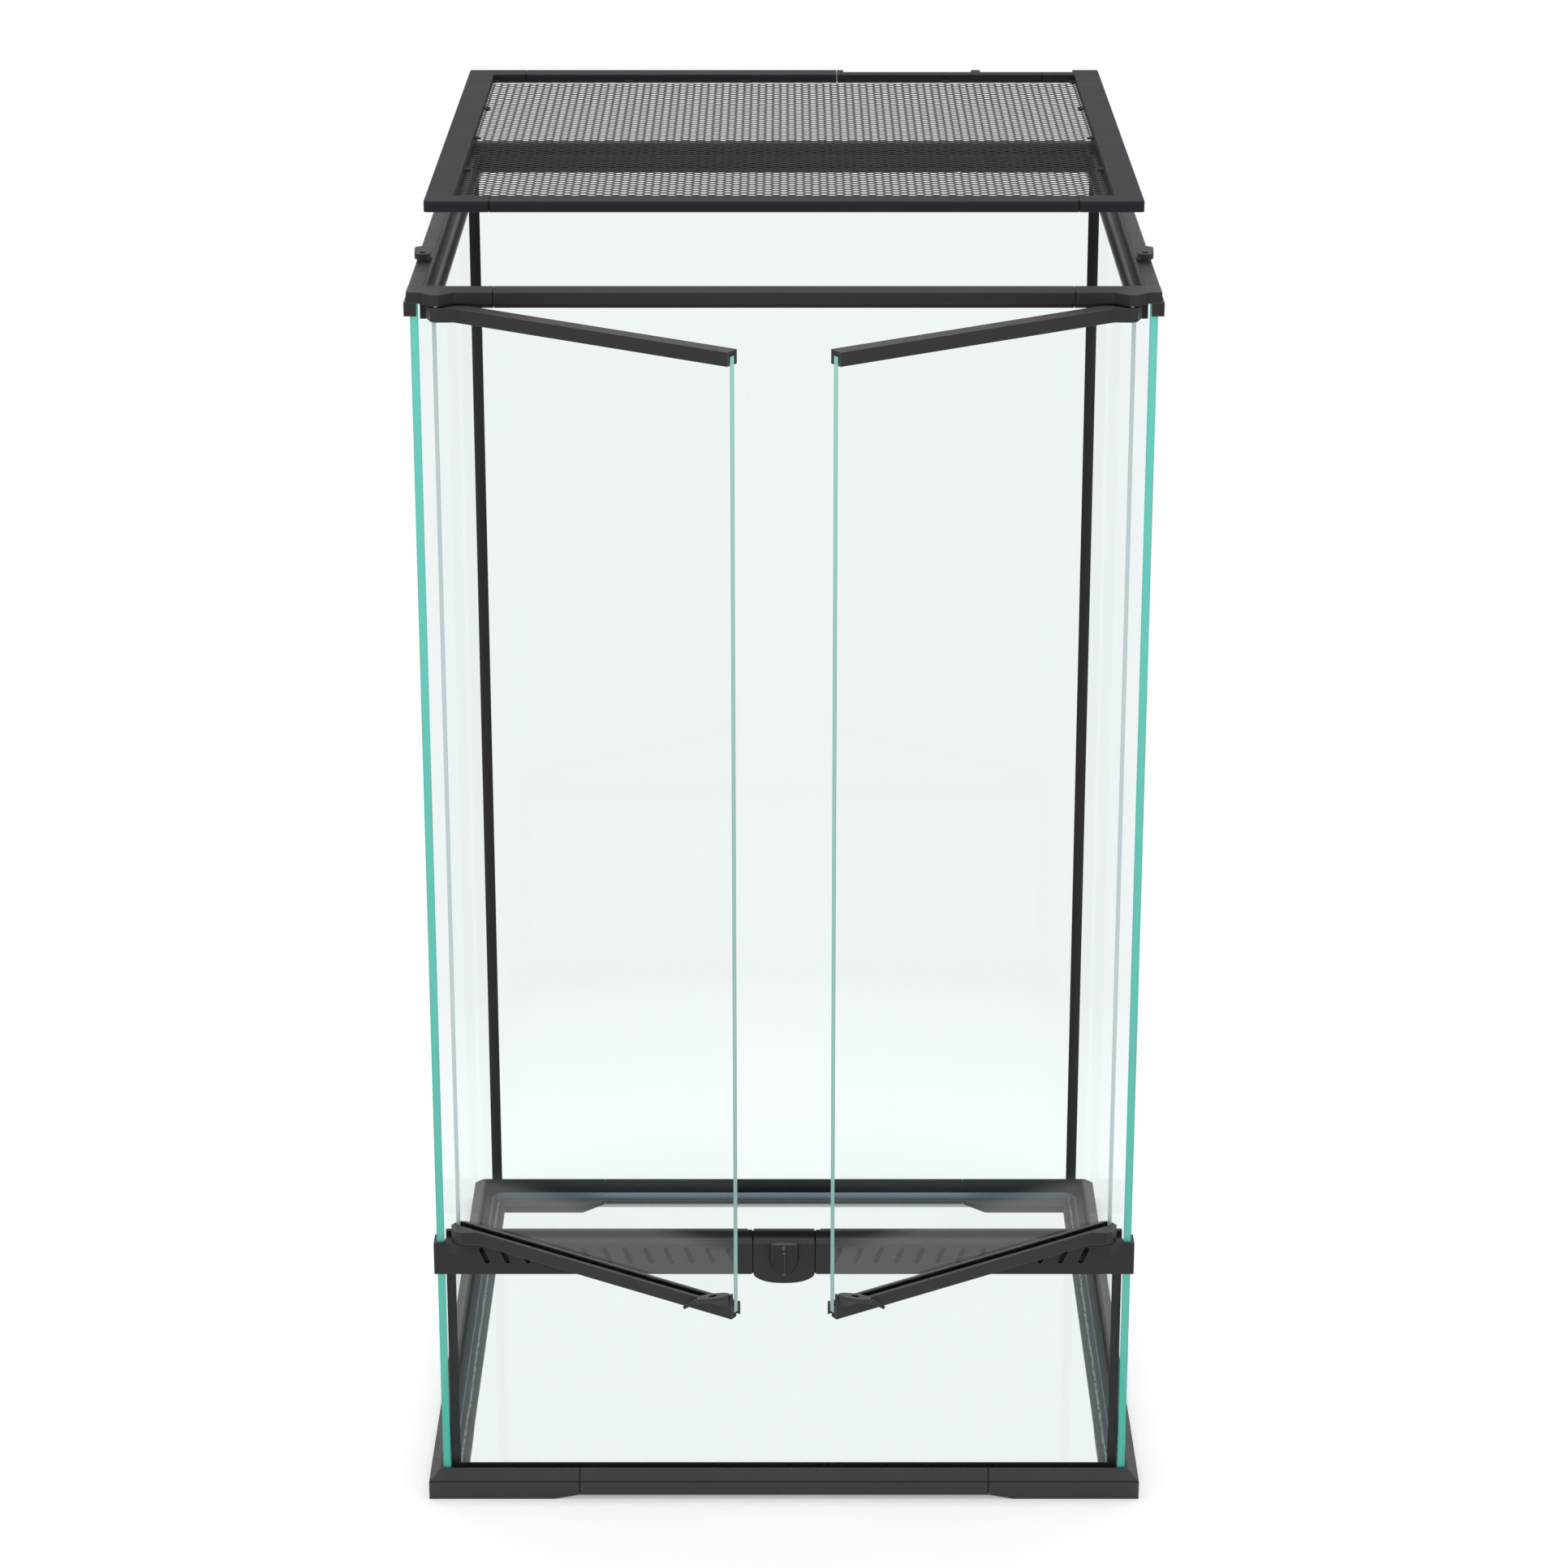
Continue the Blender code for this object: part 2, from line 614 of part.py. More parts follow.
def bar_profile():
    """Vent bar: a hollow channel over the front glass, grooved on top for the doors."""
    front = BAR_OUT
    wall = front - BAR_WALL
    rear = front - BAR_DEPTH
    stop_front = rear + BAR_STOP_WIDTH
    rim_front = front - BAR_CHAMFER
    rim_rear = rim_front - BAR_RIM_WIDTH
    ceiling = BAR_GROOVE_FLOOR - BAR_CEILING
    return [(front, BAR_BOTTOM), (front, BAR_TOP), (rim_front, BAR_RIM_TOP),
            (rim_rear, BAR_RIM_TOP), (rim_rear, BAR_GROOVE_FLOOR), (stop_front, BAR_GROOVE_FLOOR),
            (stop_front, BAR_RIDGE_TOP), (rear, BAR_RIDGE_TOP),
            (rear, BAR_LEG_BOTTOM), (rear + BAR_LEG, BAR_LEG_BOTTOM), (rear + BAR_LEG, ceiling),
            (wall, ceiling), (wall, BAR_BOTTOM)]


def vent_slot(x, lean):
    """Slanted slot with round ends, as an outline in X and Z."""
    tilt = math.degrees(math.atan2(VENT_RISE, VENT_LEAN * lean))
    dx = VENT_LEAN / 2 * lean
    dz = VENT_RISE / 2
    upper = arc(x + dx, VENT_CENTRE + dz, VENT_RADIUS, tilt - 90, tilt + 90, 3)
    lower = arc(x - dx, VENT_CENTRE - dz, VENT_RADIUS, tilt + 90, tilt + 270, 3)
    return upper + lower


def corner_cut(x, side, z, near=-GLUE, far=BAR_DEPTH + GLUE):
    """Cutter that bevels an end corner of a bar segment; side is the end's direction in X."""
    up = 1 if z > VENT_CENTRE else -1
    out_x, out_z = x + side * GLUE, z + up * GLUE
    outline = [(out_x, z - up * BAR_CORNER), (out_x, out_z), (x - side * BAR_CORNER, out_z)]
    return prism(outline, LOCK_Y + near, LOCK_Y + far, axis="Y")


def top_bevels(x, side):
    """Bevels of the front rim and of the rear ridge at one end of a bar segment."""
    return [corner_cut(x, side, BAR_RIM_TOP, far=BAR_CHAMFER + BAR_RIM_WIDTH + GLUE),
            corner_cut(x, side, BAR_RIDGE_TOP, near=BAR_DEPTH - BAR_STOP_WIDTH - GLUE)]


def left_vent_bar():
    """Left half of the vent bar, with its end cap round the glass and the lower hinge lug."""
    end_x = -(INSIDE_W - GAP)
    seam_x = -(LOCK_WIDTH / 2 + BAR_SEAM)
    bar = loft([ring_along_x(bar_profile(), x, -1) for x in (end_x, seam_x)])
    front_y = -(HALF_D + BAR_OUT)
    wall_y = front_y + BAR_WALL
    cap_x = -(HALF_W + BAR_CAP_OUT)
    cap_face = block((cap_x, front_y, BAR_BOTTOM), (end_x + BAR_WALL, -HALF_D - GAP, BAR_TOP))
    cap_side = block((cap_x, front_y, BAR_BOTTOM), (-HALF_W - GAP, front_y + BAR_CAP_DEPTH, BAR_TOP))
    ceiling = BAR_GROOVE_FLOOR - BAR_CEILING
    end_block = block((end_x, wall_y - GLUE, FRONT_GLASS_TOP + GAP),
                      (end_x + BAR_END_BLOCK - VENT_RADIUS * 4, front_y + BAR_DEPTH - BAR_LEG / 2,
                       ceiling + BAR_CEILING / 2))
    lug_top = BAR_RIM_TOP
    lug = [(-HINGE_X + x, HINGE_Y + y) for x, y in
           lug_outline(LUG_NOSE, HINGE_FORWARD - BAR_OUT, back=HINGE_FORWARD - GAP)]
    lug = prism(lug, lug_top - LUG_HEIGHT, lug_top)
    bar = united(bar, cap_face, cap_side, end_block, lug)
    slots = []
    for i in range(VENT_SLOTS):
        x = -HALF_W + VENT_FIRST + i * VENT_PITCH
        slots.append(prism(vent_slot(x, -1), front_y - GLUE, wall_y + GLUE, axis="Y"))
    pin_hole = prism(circle(-HINGE_X, HINGE_Y, PIN_RADIUS + GAP), lug_top - PIN_IN_LUG - GAP,
                     lug_top + GAP)
    lap = block((seam_x - LAP_LENGTH, wall_y - LAP_THICK - GAP, BAR_BOTTOM - GLUE),
                (seam_x + GLUE, wall_y + GLUE, ceiling - GLUE))
    rear_y = front_y + BAR_DEPTH
    ridge_lap = block((seam_x - LAP_LENGTH, rear_y - LAP_THICK - GAP, RIDGE_LAP_BOTTOM - GAP),
                      (seam_x + GLUE, rear_y + GLUE, BAR_RIDGE_TOP + GLUE))
    bevels = joined([corner_cut(seam_x, 1, BAR_BOTTOM), *top_bevels(seam_x, 1)])
    return cut(bar, joined(slots), pin_hole, lap, ridge_lap, bevels)


def chin_outline(steps=14):
    """Front plate of the lock: straight sides and a shallow round bottom edge."""
    half = LOCK_WIDTH / 2
    points = []
    for i in range(steps + 1):
        x = -math.cos(math.pi * i / steps)
        drop = (1.0 - abs(x) ** 2.4) ** 0.62
        points.append((half * x, BAR_BOTTOM - LOCK_CHIN * drop))
    return points + [(half, BAR_BOTTOM + BAR_WALL), (-half, BAR_BOTTOM + BAR_WALL)]


def lock_housing():
    """Middle block of the bar: it carries the knob and lets the cam rise between the doors."""
    half = LOCK_WIDTH / 2
    housing = loft([ring_along_x(bar_profile(), x, -1) for x in (-half, half)])
    wall_y = LOCK_Y + BAR_WALL
    chin = prism(chin_outline(), LOCK_Y, wall_y, axis="Y")
    shaft_hole = prism(circle(0.0, LOCK_AXIS_HEIGHT, SHAFT_RADIUS + GAP), LOCK_Y - GLUE,
                       wall_y + GLUE, axis="Y")
    cam_y = LOCK_Y + CAM_SETBACK
    swing = math.hypot(CAM_REACH, CAM_WIDTH / 2)
    rise = BAR_GROOVE_FLOOR - BAR_CEILING - LOCK_AXIS_HEIGHT
    far = math.sqrt(max(swing ** 2 - rise ** 2, 0.0)) + GLUE
    cam_slot = block((-CAM_WIDTH / 2 - GLUE, cam_y - CAM_THICK / 2 - GAP,
                      BAR_GROOVE_FLOOR - BAR_CEILING - GLUE),
                     (far, cam_y + CAM_THICK / 2 + GAP, BAR_GROOVE_FLOOR + GLUE))
    ceiling = BAR_GROOVE_FLOOR - BAR_CEILING
    rear_y = LOCK_Y + BAR_DEPTH
    leg_y = rear_y - BAR_LEG
    low_z = FRONT_GLASS_TOP + GAP
    spigots = []
    for side in (-1, 1):
        spigots.append(side_block(side, half - 2 * PLUG_ROOT, half,
                                  (wall_y - GLUE, low_z), (leg_y + GLUE, ceiling + GLUE)))
        spigots.append(side_block(side, half - PLUG_ROOT, half + PLUG_LENGTH,
                                  (wall_y + GAP, low_z), (leg_y - GAP, ceiling - GAP)))
        spigots.append(side_block(side, half - PLUG_ROOT, half + LAP_LENGTH - GAP,
                                  (wall_y - LAP_THICK, BAR_BOTTOM), (wall_y, ceiling - 2 * GLUE)))
        spigots.append(side_block(side, half - PLUG_ROOT, half + LAP_LENGTH - GAP,
                                  (rear_y - LAP_THICK, RIDGE_LAP_BOTTOM),
                                  (rear_y, BAR_RIDGE_TOP - BAR_CORNER - GAP)))
    bevels = top_bevels(-half, -1) + top_bevels(half, 1)
    return cut(united(housing, chin, *spigots), shaft_hole, cam_slot, *bevels)


def knob_outline(steps=14):
    """Shield seen from the front: flat top, round corners and a pointed round bottom."""
    half_w = KNOB_WIDTH / 2
    half_h = KNOB_HEIGHT / 2
    corner = KNOB_CORNER
    top = arc(half_w - corner, half_h - corner, corner, 0, 90, 3)
    top += arc(-half_w + corner, half_h - corner, corner, 90, 180, 3)
    lower = []
    for i in range(steps + 1):
        angle = math.pi * (1 + i / steps)
        lower.append((half_w * math.cos(angle), half_h * math.sin(angle) * abs(math.sin(angle)) ** 0.35))
    return top + lower


def lock_knob():
    """Thumb turn: a shield that grows thicker to its top, a finger rib and a shaft behind."""
    back = -GAP
    half_h = KNOB_HEIGHT / 2

    def face(z):
        share = (z + half_h) / KNOB_HEIGHT
        return back - KNOB_THIN - (KNOB_THICK - KNOB_THIN) * share

    outline = knob_outline()
    shield = loft([[(x, back, z) for x, z in outline], [(x, face(z), z) for x, z in outline]])
    rib_half = RIB_WIDTH / 2
    rib_outline = arc(0.0, half_h - rib_half - GLUE * 2, rib_half, 0, 180, 4)
    rib_outline += arc(0.0, -half_h + rib_half + GLUE, rib_half, 180, 360, 4)
    rib = loft([[(x, back - KNOB_THIN / 2, z) for x, z in rib_outline],
                [(x, face(z) - RIB_PROUD, z) for x, z in rib_outline]])
    shaft_end = CAM_SETBACK + CAM_THICK / 2 + GLUE
    shaft = prism(circle(0.0, 0.0, SHAFT_RADIUS), back - KNOB_THIN / 2, shaft_end, axis="Y")
    return united(shield, rib, shaft)


def lock_cam():
    """Bolt on the knob's shaft: a disc with one long arm, pointing sideways when unlocked."""
    half = CAM_WIDTH / 2
    bend = math.degrees(math.asin(half / CAM_RADIUS))
    outline = arc(0.0, 0.0, CAM_RADIUS, bend, 360 - bend, 14)
    outline += [(CAM_REACH, -half), (CAM_REACH, half)]
    low = CAM_SETBACK - CAM_THICK / 2
    high = CAM_SETBACK + CAM_THICK / 2
    hole = prism(circle(0.0, 0.0, SHAFT_RADIUS + GAP), low - GAP, high + GAP, axis="Y")
    return cut(prism(outline, low, high, axis="Y"), hole)


def build_bar(plastic, knob_plastic, steel, case):
    bar = left_vent_bar()
    add("vent_bar_left", bar, plastic, case)
    add("vent_bar_right", flipped(bar, sign_x=-1), plastic, case)
    add("lock_housing", lock_housing(), plastic, case)
    axis = pivot("lock_pivot", (0.0, LOCK_Y, LOCK_AXIS_HEIGHT), case)
    add("lock_knob", lock_knob(), knob_plastic, axis)
    add("lock_cam", lock_cam(), steel, axis)


# Doors, modelled closed round the hinge axis and then swung open


def door_rail_outline(start, end):
    """Plan of a door rail: a hinge nose round the pin and a rear corner rounded to swing."""
    first = math.degrees(math.acos(start / DOOR_SWING_RADIUS))
    last = 180 - math.degrees(math.asin(DOOR_REAR / DOOR_SWING_RADIUS))
    return [(end, DOOR_FRONT), (LUG_FLAT / 2 + LUG_SLOPE, DOOR_FRONT),
            (LUG_FLAT / 2, -LUG_NOSE + GLUE), (-LUG_FLAT / 2, -LUG_NOSE + GLUE),
            (start, DOOR_FRONT), *arc(0.0, 0.0, DOOR_SWING_RADIUS, first, last, 3), (end, DOOR_REAR)]


def door_pin_hole(low, high):
    return prism(circle(0.0, 0.0, PIN_RADIUS + GAP), low, high)


def door_upper_rail():
    rail = prism(door_rail_outline(DOOR_OUTER, DOOR_INNER), DOOR_TOP - DOOR_RAIL_HEIGHT, DOOR_TOP)
    slot = block((DOOR_OUTER + DOOR_END_WALL, DOOR_MIDDLE - DOOR_SLOT, DOOR_TOP - DOOR_RAIL_HEIGHT - GAP),
                 (DOOR_INNER + GAP, DOOR_MIDDLE + DOOR_SLOT, DOOR_TOP - DOOR_WEB))
    return cut(rail, slot, door_pin_hole(DOOR_TOP - PIN_IN_DOOR - GAP, DOOR_TOP + GAP))


def door_lower_rail():
    top = DOOR_BOTTOM + DOOR_RAIL_HEIGHT
    rail = prism(door_rail_outline(DOOR_OUTER, HANDLE_START - GAP), DOOR_BOTTOM, top)
    slot = block((DOOR_OUTER + DOOR_END_WALL, DOOR_MIDDLE - DOOR_SLOT, DOOR_BOTTOM + DOOR_WEB),
                 (DOOR_INNER, DOOR_MIDDLE + DOOR_SLOT, top + GAP))
    return cut(rail, slot, door_pin_hole(DOOR_BOTTOM - GAP, DOOR_BOTTOM + PIN_IN_DOOR + GAP))


def plate_ring(centre, half_x, half_y, z, rise=0.0, steps=20):
    """Rounded oblong outline of the handle's plate; rise is its slope towards the door's free end."""
    ring = []
    for i in range(steps):
        angle = 2 * math.pi * i / steps
        c, s = math.cos(angle), math.sin(angle)
        away = half_x * math.copysign(abs(c) ** 0.8, c)
        ring.append((centre[0] + away, centre[1] + half_y * math.copysign(abs(s) ** 0.8, s), z + away * rise))
    return ring


def handle_tail(start_x, plate_z):
    """Curved finger guard that sweeps from the plate down across the face of the rail."""
    p0 = Vector((start_x + TAIL_THICK * 2, plate_z + TAIL_THICK * (2 * HANDLE_RISE - 0.5)))
    p1 = Vector((start_x - TAIL_LENGTH * 0.25, plate_z - TAIL_THICK / 2 - TAIL_LENGTH * 0.25 * HANDLE_RISE))
    p2 = Vector((start_x - TAIL_LENGTH * 0.60, DOOR_BOTTOM + TAIL_THICK * 1.6))
    p3 = Vector((start_x - TAIL_LENGTH, DOOR_BOTTOM + TAIL_THICK * 0.4))
    near = DOOR_FRONT - GAP
    far = near - TAIL_WIDTH
    rings = []
    steps = 8
    for i in range(steps + 1):
        t = i / steps
        point = (1 - t) ** 3 * p0 + 3 * (1 - t) ** 2 * t * p1 + 3 * (1 - t) * t * t * p2 + t ** 3 * p3
        ahead = 3 * (1 - t) ** 2 * (p1 - p0) + 6 * (1 - t) * t * (p2 - p1) + 3 * t * t * (p3 - p2)
        ahead.normalize()
        side = Vector((ahead.y, -ahead.x)) * (TAIL_THICK / 2) * (1.0 - 0.25 * t)
        a, b = point + side, point - side
        rings.append([(a.x, near, a.y), (a.x, far, a.y), (b.x, far, b.y), (b.x, near, b.y)])
    return loft(rings)


def door_handle():
    """Corner grip: a shoe round the glass, a sloping plate with a recess and a finger guard."""
    shoe_top = DOOR_BOTTOM + DOOR_RAIL_HEIGHT
    plate_top = DOOR_BOTTOM + HANDLE_HEIGHT
    front_wall = DOOR_MIDDLE - DOOR_SLOT
    shoe = block((HANDLE_START, DOOR_FRONT, DOOR_BOTTOM), (DOOR_INNER, DOOR_REAR, shoe_top))
    centre_x = DOOR_INNER - HANDLE_LENGTH / 2
    centre_y = front_wall - HANDLE_REACH / 2
    half_x = HANDLE_LENGTH / 2 - GLUE
    half_y = HANDLE_REACH / 2
    foot = (centre_x, (DOOR_FRONT + front_wall) / 2)
    middle = (centre_x, centre_y)
    flare = loft([plate_ring(foot, half_x * 0.86, (front_wall - DOOR_FRONT) / 2, shoe_top - GLUE * 3),
                  plate_ring(middle, half_x * 0.98, half_y * 0.94, plate_top - HANDLE_PLATE * 1.6, HANDLE_RISE),
                  plate_ring(middle, half_x, half_y, plate_top - HANDLE_PLATE, HANDLE_RISE),
                  plate_ring(middle, half_x, half_y, plate_top - GLUE, HANDLE_RISE),
                  plate_ring(middle, half_x - GLUE, half_y - GLUE, plate_top, HANDLE_RISE)])

    def plate_height(x):
        return plate_top + (x - centre_x) * HANDLE_RISE

    neck_start = HANDLE_START + HANDLE_LENGTH * 0.12
    neck_end = DOOR_INNER - GLUE
    neck = prism([(neck_start, shoe_top - GLUE), (neck_end, shoe_top - GLUE),
                  (neck_end, plate_height(neck_end) - HANDLE_PLATE),
                  (neck_start, plate_height(neck_start) - HANDLE_PLATE)], DOOR_FRONT, front_wall, axis="Y")
    tail_start = HANDLE_START + HANDLE_LENGTH * 0.10
    tail = handle_tail(tail_start, plate_height(tail_start) - GLUE)
    grip = united(shoe, neck, flare, tail)
    slot = block((HANDLE_START - GLUE, front_wall, DOOR_BOTTOM + DOOR_WEB),
                 (DOOR_INNER + GLUE, DOOR_MIDDLE + DOOR_SLOT, plate_height(DOOR_INNER) + GLUE))
    hole = [point[:2] for point in plate_ring(middle, HANDLE_HOLE[0] / 2, HANDLE_HOLE[1] / 2, 0.0, steps=12)]
    recess = prism(hole, plate_top - HANDLE_HOLE[2], plate_height(DOOR_INNER))
    cam_y = LOCK_Y + CAM_SETBACK - HINGE_Y
    notch = block((DOOR_INNER - BOLT_NOTCH, cam_y - CAM_THICK / 2 - GLUE, DOOR_BOTTOM - GLUE),
                  (DOOR_INNER + GLUE, cam_y + CAM_THICK / 2 + GLUE, DOOR_BOTTOM + BOLT_NOTCH_HEIGHT))
    return cut(grip, slot, recess, notch)


def build_doors(glass, plastic, steel, case):
    upper = door_upper_rail()
    lower = door_lower_rail()
    handle = door_handle()
    pane = block((DOOR_OUTER + DOOR_END_WALL + GAP, DOOR_MIDDLE - DOOR_PANE / 2, DOOR_BOTTOM + DOOR_WEB + GAP),
                 (DOOR_INNER, DOOR_MIDDLE + DOOR_PANE / 2, DOOR_TOP - DOOR_WEB - GAP))
    for side, word in ((-1, "left"), (1, "right")):
        axis = pivot(f"door_{word}_hinge", (side * HINGE_X, HINGE_Y, 0.0), case, side * DOOR_OPEN)
        add(f"door_glass_{word}", flipped(pane, sign_x=-side), glass, axis)
        add(f"door_upper_rail_{word}", flipped(upper, sign_x=-side), plastic, axis)
        add(f"door_lower_rail_{word}", flipped(lower, sign_x=-side), plastic, axis)
        add(f"door_handle_{word}", flipped(handle, sign_x=-side), plastic, axis)
        fascia = CASE_HEIGHT - FASCIA
        pins = (("upper", DOOR_TOP - PIN_IN_DOOR + GAP, fascia + PIN_IN_LUG - GAP),
                ("lower", BAR_RIM_TOP - PIN_IN_LUG + GAP, DOOR_BOTTOM + PIN_IN_DOOR - GAP))
        for place, low, high in pins:
            pin = prism(circle(side * HINGE_X, HINGE_Y, PIN_RADIUS), low, high)
            add(f"hinge_pin_{place}_{word}", pin, steel, case)


# Lid


def lid_profile():
    """Lid rail: flat top, square outer edge and a rebate underneath for the net."""
    low, high = LID_BOTTOM, LID_BOTTOM + LID_THICKNESS
    rebate = LID_RAIL - LID_REBATE
    return [(0.0, low), (0.0, high - EDGE_CHAMFER), (EDGE_CHAMFER, high),
            (LID_RAIL - EDGE_CHAMFER, high), (LID_RAIL, high - EDGE_CHAMFER),
            (LID_RAIL, low + LID_REBATE_HEIGHT), (rebate, low + LID_REBATE_HEIGHT), (rebate, low)]


def lid_edge_y(side, inset):
    return LID_REAR - inset if side > 0 else LID_FRONT + inset


def lid_ring_x(x, side_y):
    return [(x, lid_edge_y(side_y, inset), z) for inset, z in lid_profile()]


def lid_ring_y(y, side_x):
    return [(side_x * (LID_HALF_W - inset), y, z) for inset, z in lid_profile()]


def corner_round(side_x, side_y):
    """Cutter that rounds an outer corner of the lid in plan."""
    x, y, radius = LID_HALF_W, LID_REAR if side_y > 0 else -LID_FRONT, LID_CORNER
    outline = [(x - radius, y + GLUE), *arc(x - radius, y - radius, radius, 90, 0, 4), (x + GLUE, y - radius),
               (x + GLUE, y + GLUE)]
    outline = [(side_x * a, side_y * b) for a, b in outline]
    return prism(outline, LID_BOTTOM - GLUE, LID_BOTTOM + LID_THICKNESS + GLUE)


def net_peg(x, y):
    """Low round peg on the inner edge of a rail, just over the net."""
    low = LID_BOTTOM + LID_REBATE_HEIGHT
    return prism(circle(x, y, PEG_RADIUS, 12), low, low + PEG_HEIGHT)


def lid_corner(side_x, side_y, leg_x, leg_y):
    mitre = [(side_x * (LID_HALF_W - inset), lid_edge_y(side_y, inset), z) for inset, z in lid_profile()]
    corner = loft([lid_ring_x(side_x * (LID_HALF_W - leg_x), side_y), mitre,
                   lid_ring_y(lid_edge_y(side_y, leg_y), side_x)])
    inner_x = side_x * (LID_HALF_W - LID_RAIL - PEG_INSET)
    clear_of_seam = leg_x > LID_RAIL + PEG_INSET + PEG_RADIUS
    inset_y = LID_RAIL + (PEG_INSET if clear_of_seam else PEG_RADIUS + GAP)
    peg = net_peg(inner_x, lid_edge_y(side_y, inset_y))
    return cut(united(corner, peg), corner_round(side_x, side_y))


def pegs_along_x(places, side_y):
    return joined([net_peg(x, lid_edge_y(side_y, LID_RAIL + PEG_INSET)) for x in places])


def pegs_along_y(side_x):
    low, high = LID_FRONT + LID_RAIL, LID_REAR - LID_RAIL
    step = (high - low) / (SIDE_PEGS + 1)
    x = side_x * (LID_HALF_W - LID_RAIL - PEG_INSET)
    return joined([net_peg(x, low + step * (i + 1)) for i in range(SIDE_PEGS)])


def cable_notches(x_low, x_high):
    """Cut-outs in the rear edge for leads, with a post and a tab left standing."""
    low = LID_BOTTOM - GLUE
    high = LID_BOTTOM + LID_THICKNESS + GLUE
    first = (x_low + CABLE_POST, CABLE_TAB_PLACE - CABLE_TAB / 2)
    second = (CABLE_TAB_PLACE + CABLE_TAB / 2, x_high + GLUE)
    return joined([block((a, LID_REAR - CABLE_NOTCH, low), (b, LID_REAR + GLUE, high))
                   for a, b in (first, second)])


def lid_net():
    """Flat expanded net: staggered diamond gaps in a thin sheet."""
    inset = LID_RAIL - LID_REBATE + GAP
    x0, x1 = -LID_HALF_W + inset, LID_HALF_W - inset
    y0, y1 = LID_FRONT + inset, LID_REAR - inset
    low = LID_BOTTOM + LID_REBATE_HEIGHT - GAP - NET_THICKNESS
    sheet = block((x0, y0, low), (x1, y1, low + NET_THICKNESS))
    pitch_x = (x1 - x0 - 2 * NET_BORDER) / NET_COLUMNS
    pitch_y = (y1 - y0 - 2 * NET_BORDER) / NET_ROWS
    half_x = (pitch_x - NET_STRAND) / 2
    half_y = (pitch_y - NET_STRAND / 2)
    gaps = []
    for row in range(2 * NET_ROWS - 1):
        shift = row % 2
        y = y0 + NET_BORDER + (row + 1) * pitch_y / 2
        for column in range(NET_COLUMNS - shift):
            x = x0 + NET_BORDER + (column + 0.5 + shift / 2) * pitch_x
            diamond = [(x - half_x, y), (x, y - half_y / 2), (x + half_x, y), (x, y + half_y / 2)]
            gaps.append(prism(diamond, low - GLUE, low + NET_THICKNESS + GLUE))
    return cut(sheet, joined(gaps))


def build_lid(plastic, mesh_metal, case):
    lid = pivot("lid_slide", (0.0, 0.0, 0.0), case)
    for side_x, word_x in ((-1, "left"), (1, "right")):
        for side_y, word_y in ((-1, "front"), (1, "rear")):
            short = side_x > 0 and side_y > 0
            leg_x = LID_SHORT_LEG if short else LID_LEG
            add(f"lid_corner_{word_y}_{word_x}", lid_corner(side_x, side_y, leg_x, LID_LEG), plastic, lid)
    reach = LID_HALF_W - LID_LEG - GAP
    front = loft([lid_ring_x(x, -1) for x in (-reach, reach)])
    add("lid_rail_front", united(front, pegs_along_x(FRONT_PEGS, -1)), plastic, lid)
    y_low, y_high = LID_FRONT + LID_LEG + GAP, LID_REAR - LID_LEG - GAP
    for side, word in ((-1, "left"), (1, "right")):
        rail = loft([lid_ring_y(y, side) for y in (y_low, y_high)])
        add(f"lid_rail_{word}", united(rail, pegs_along_y(side)), plastic, lid)
    rear_left = loft([lid_ring_x(x, 1) for x in (-reach, LID_SPLIT - GAP)])
    add("lid_rail_rear", united(rear_left, pegs_along_x(REAR_PEGS, 1)), plastic, lid)
    x_high = LID_HALF_W - LID_SHORT_LEG - GAP
    inlet = loft([lid_ring_x(x, 1) for x in (LID_SPLIT, x_high)])
    inlet = united(inlet, pegs_along_x(INLET_PEGS, 1))
    add("lid_cable_inlet_rail", cut(inlet, cable_notches(LID_SPLIT, x_high)), plastic, lid)
    add("lid_net", lid_net(), mesh_metal, lid)


def latch_outline():
    """Plan of a latch round its screw: a round nose and a wider tail towards the rear."""
    half = LATCH_REAR_WIDTH / 2
    corner = half * 0.75
    nose = arc(0.0, 0.0, LATCH_FRONT_RADIUS, 180, 360, 8)
    tail = arc(half - corner, LATCH_LENGTH - corner, corner, 0, 90, 4)
    tail += arc(-half + corner, LATCH_LENGTH - corner, corner, 90, 180, 4)
    return nose + tail


def build_latches(plastic, steel, case):
    sunk = SCREW_SUNK + SCREW_HEAD_HEIGHT
    for side, word in ((-1, "left"), (1, "right")):
        axis = pivot(f"latch_{word}_pivot", (side * LATCH_X, LATCH_Y, 0.0), case)
        plate = prism(latch_outline(), LATCH_BOTTOM, LATCH_TOP)
        bore = prism(circle(0.0, 0.0, SCREW_SHANK_RADIUS + GAP), LATCH_BOTTOM - GAP, LATCH_TOP)
        counterbore = prism(circle(0.0, 0.0, SCREW_HEAD_RADIUS + GAP), LATCH_TOP - sunk - GAP,
                            LATCH_TOP + GAP)
        add(f"lid_latch_{word}", cut(plate, bore, counterbore), plastic, axis)
        head = prism(circle(side * LATCH_X, LATCH_Y, SCREW_HEAD_RADIUS), LATCH_TOP - sunk,
                     LATCH_TOP - SCREW_SUNK)
        shank = prism(circle(side * LATCH_X, LATCH_Y, SCREW_SHANK_RADIUS),
                      CASE_HEIGHT - SCREW_IN_RAIL, LATCH_TOP - sunk + GAP)
        add(f"latch_screw_{word}", united(head, shank), steel, case)


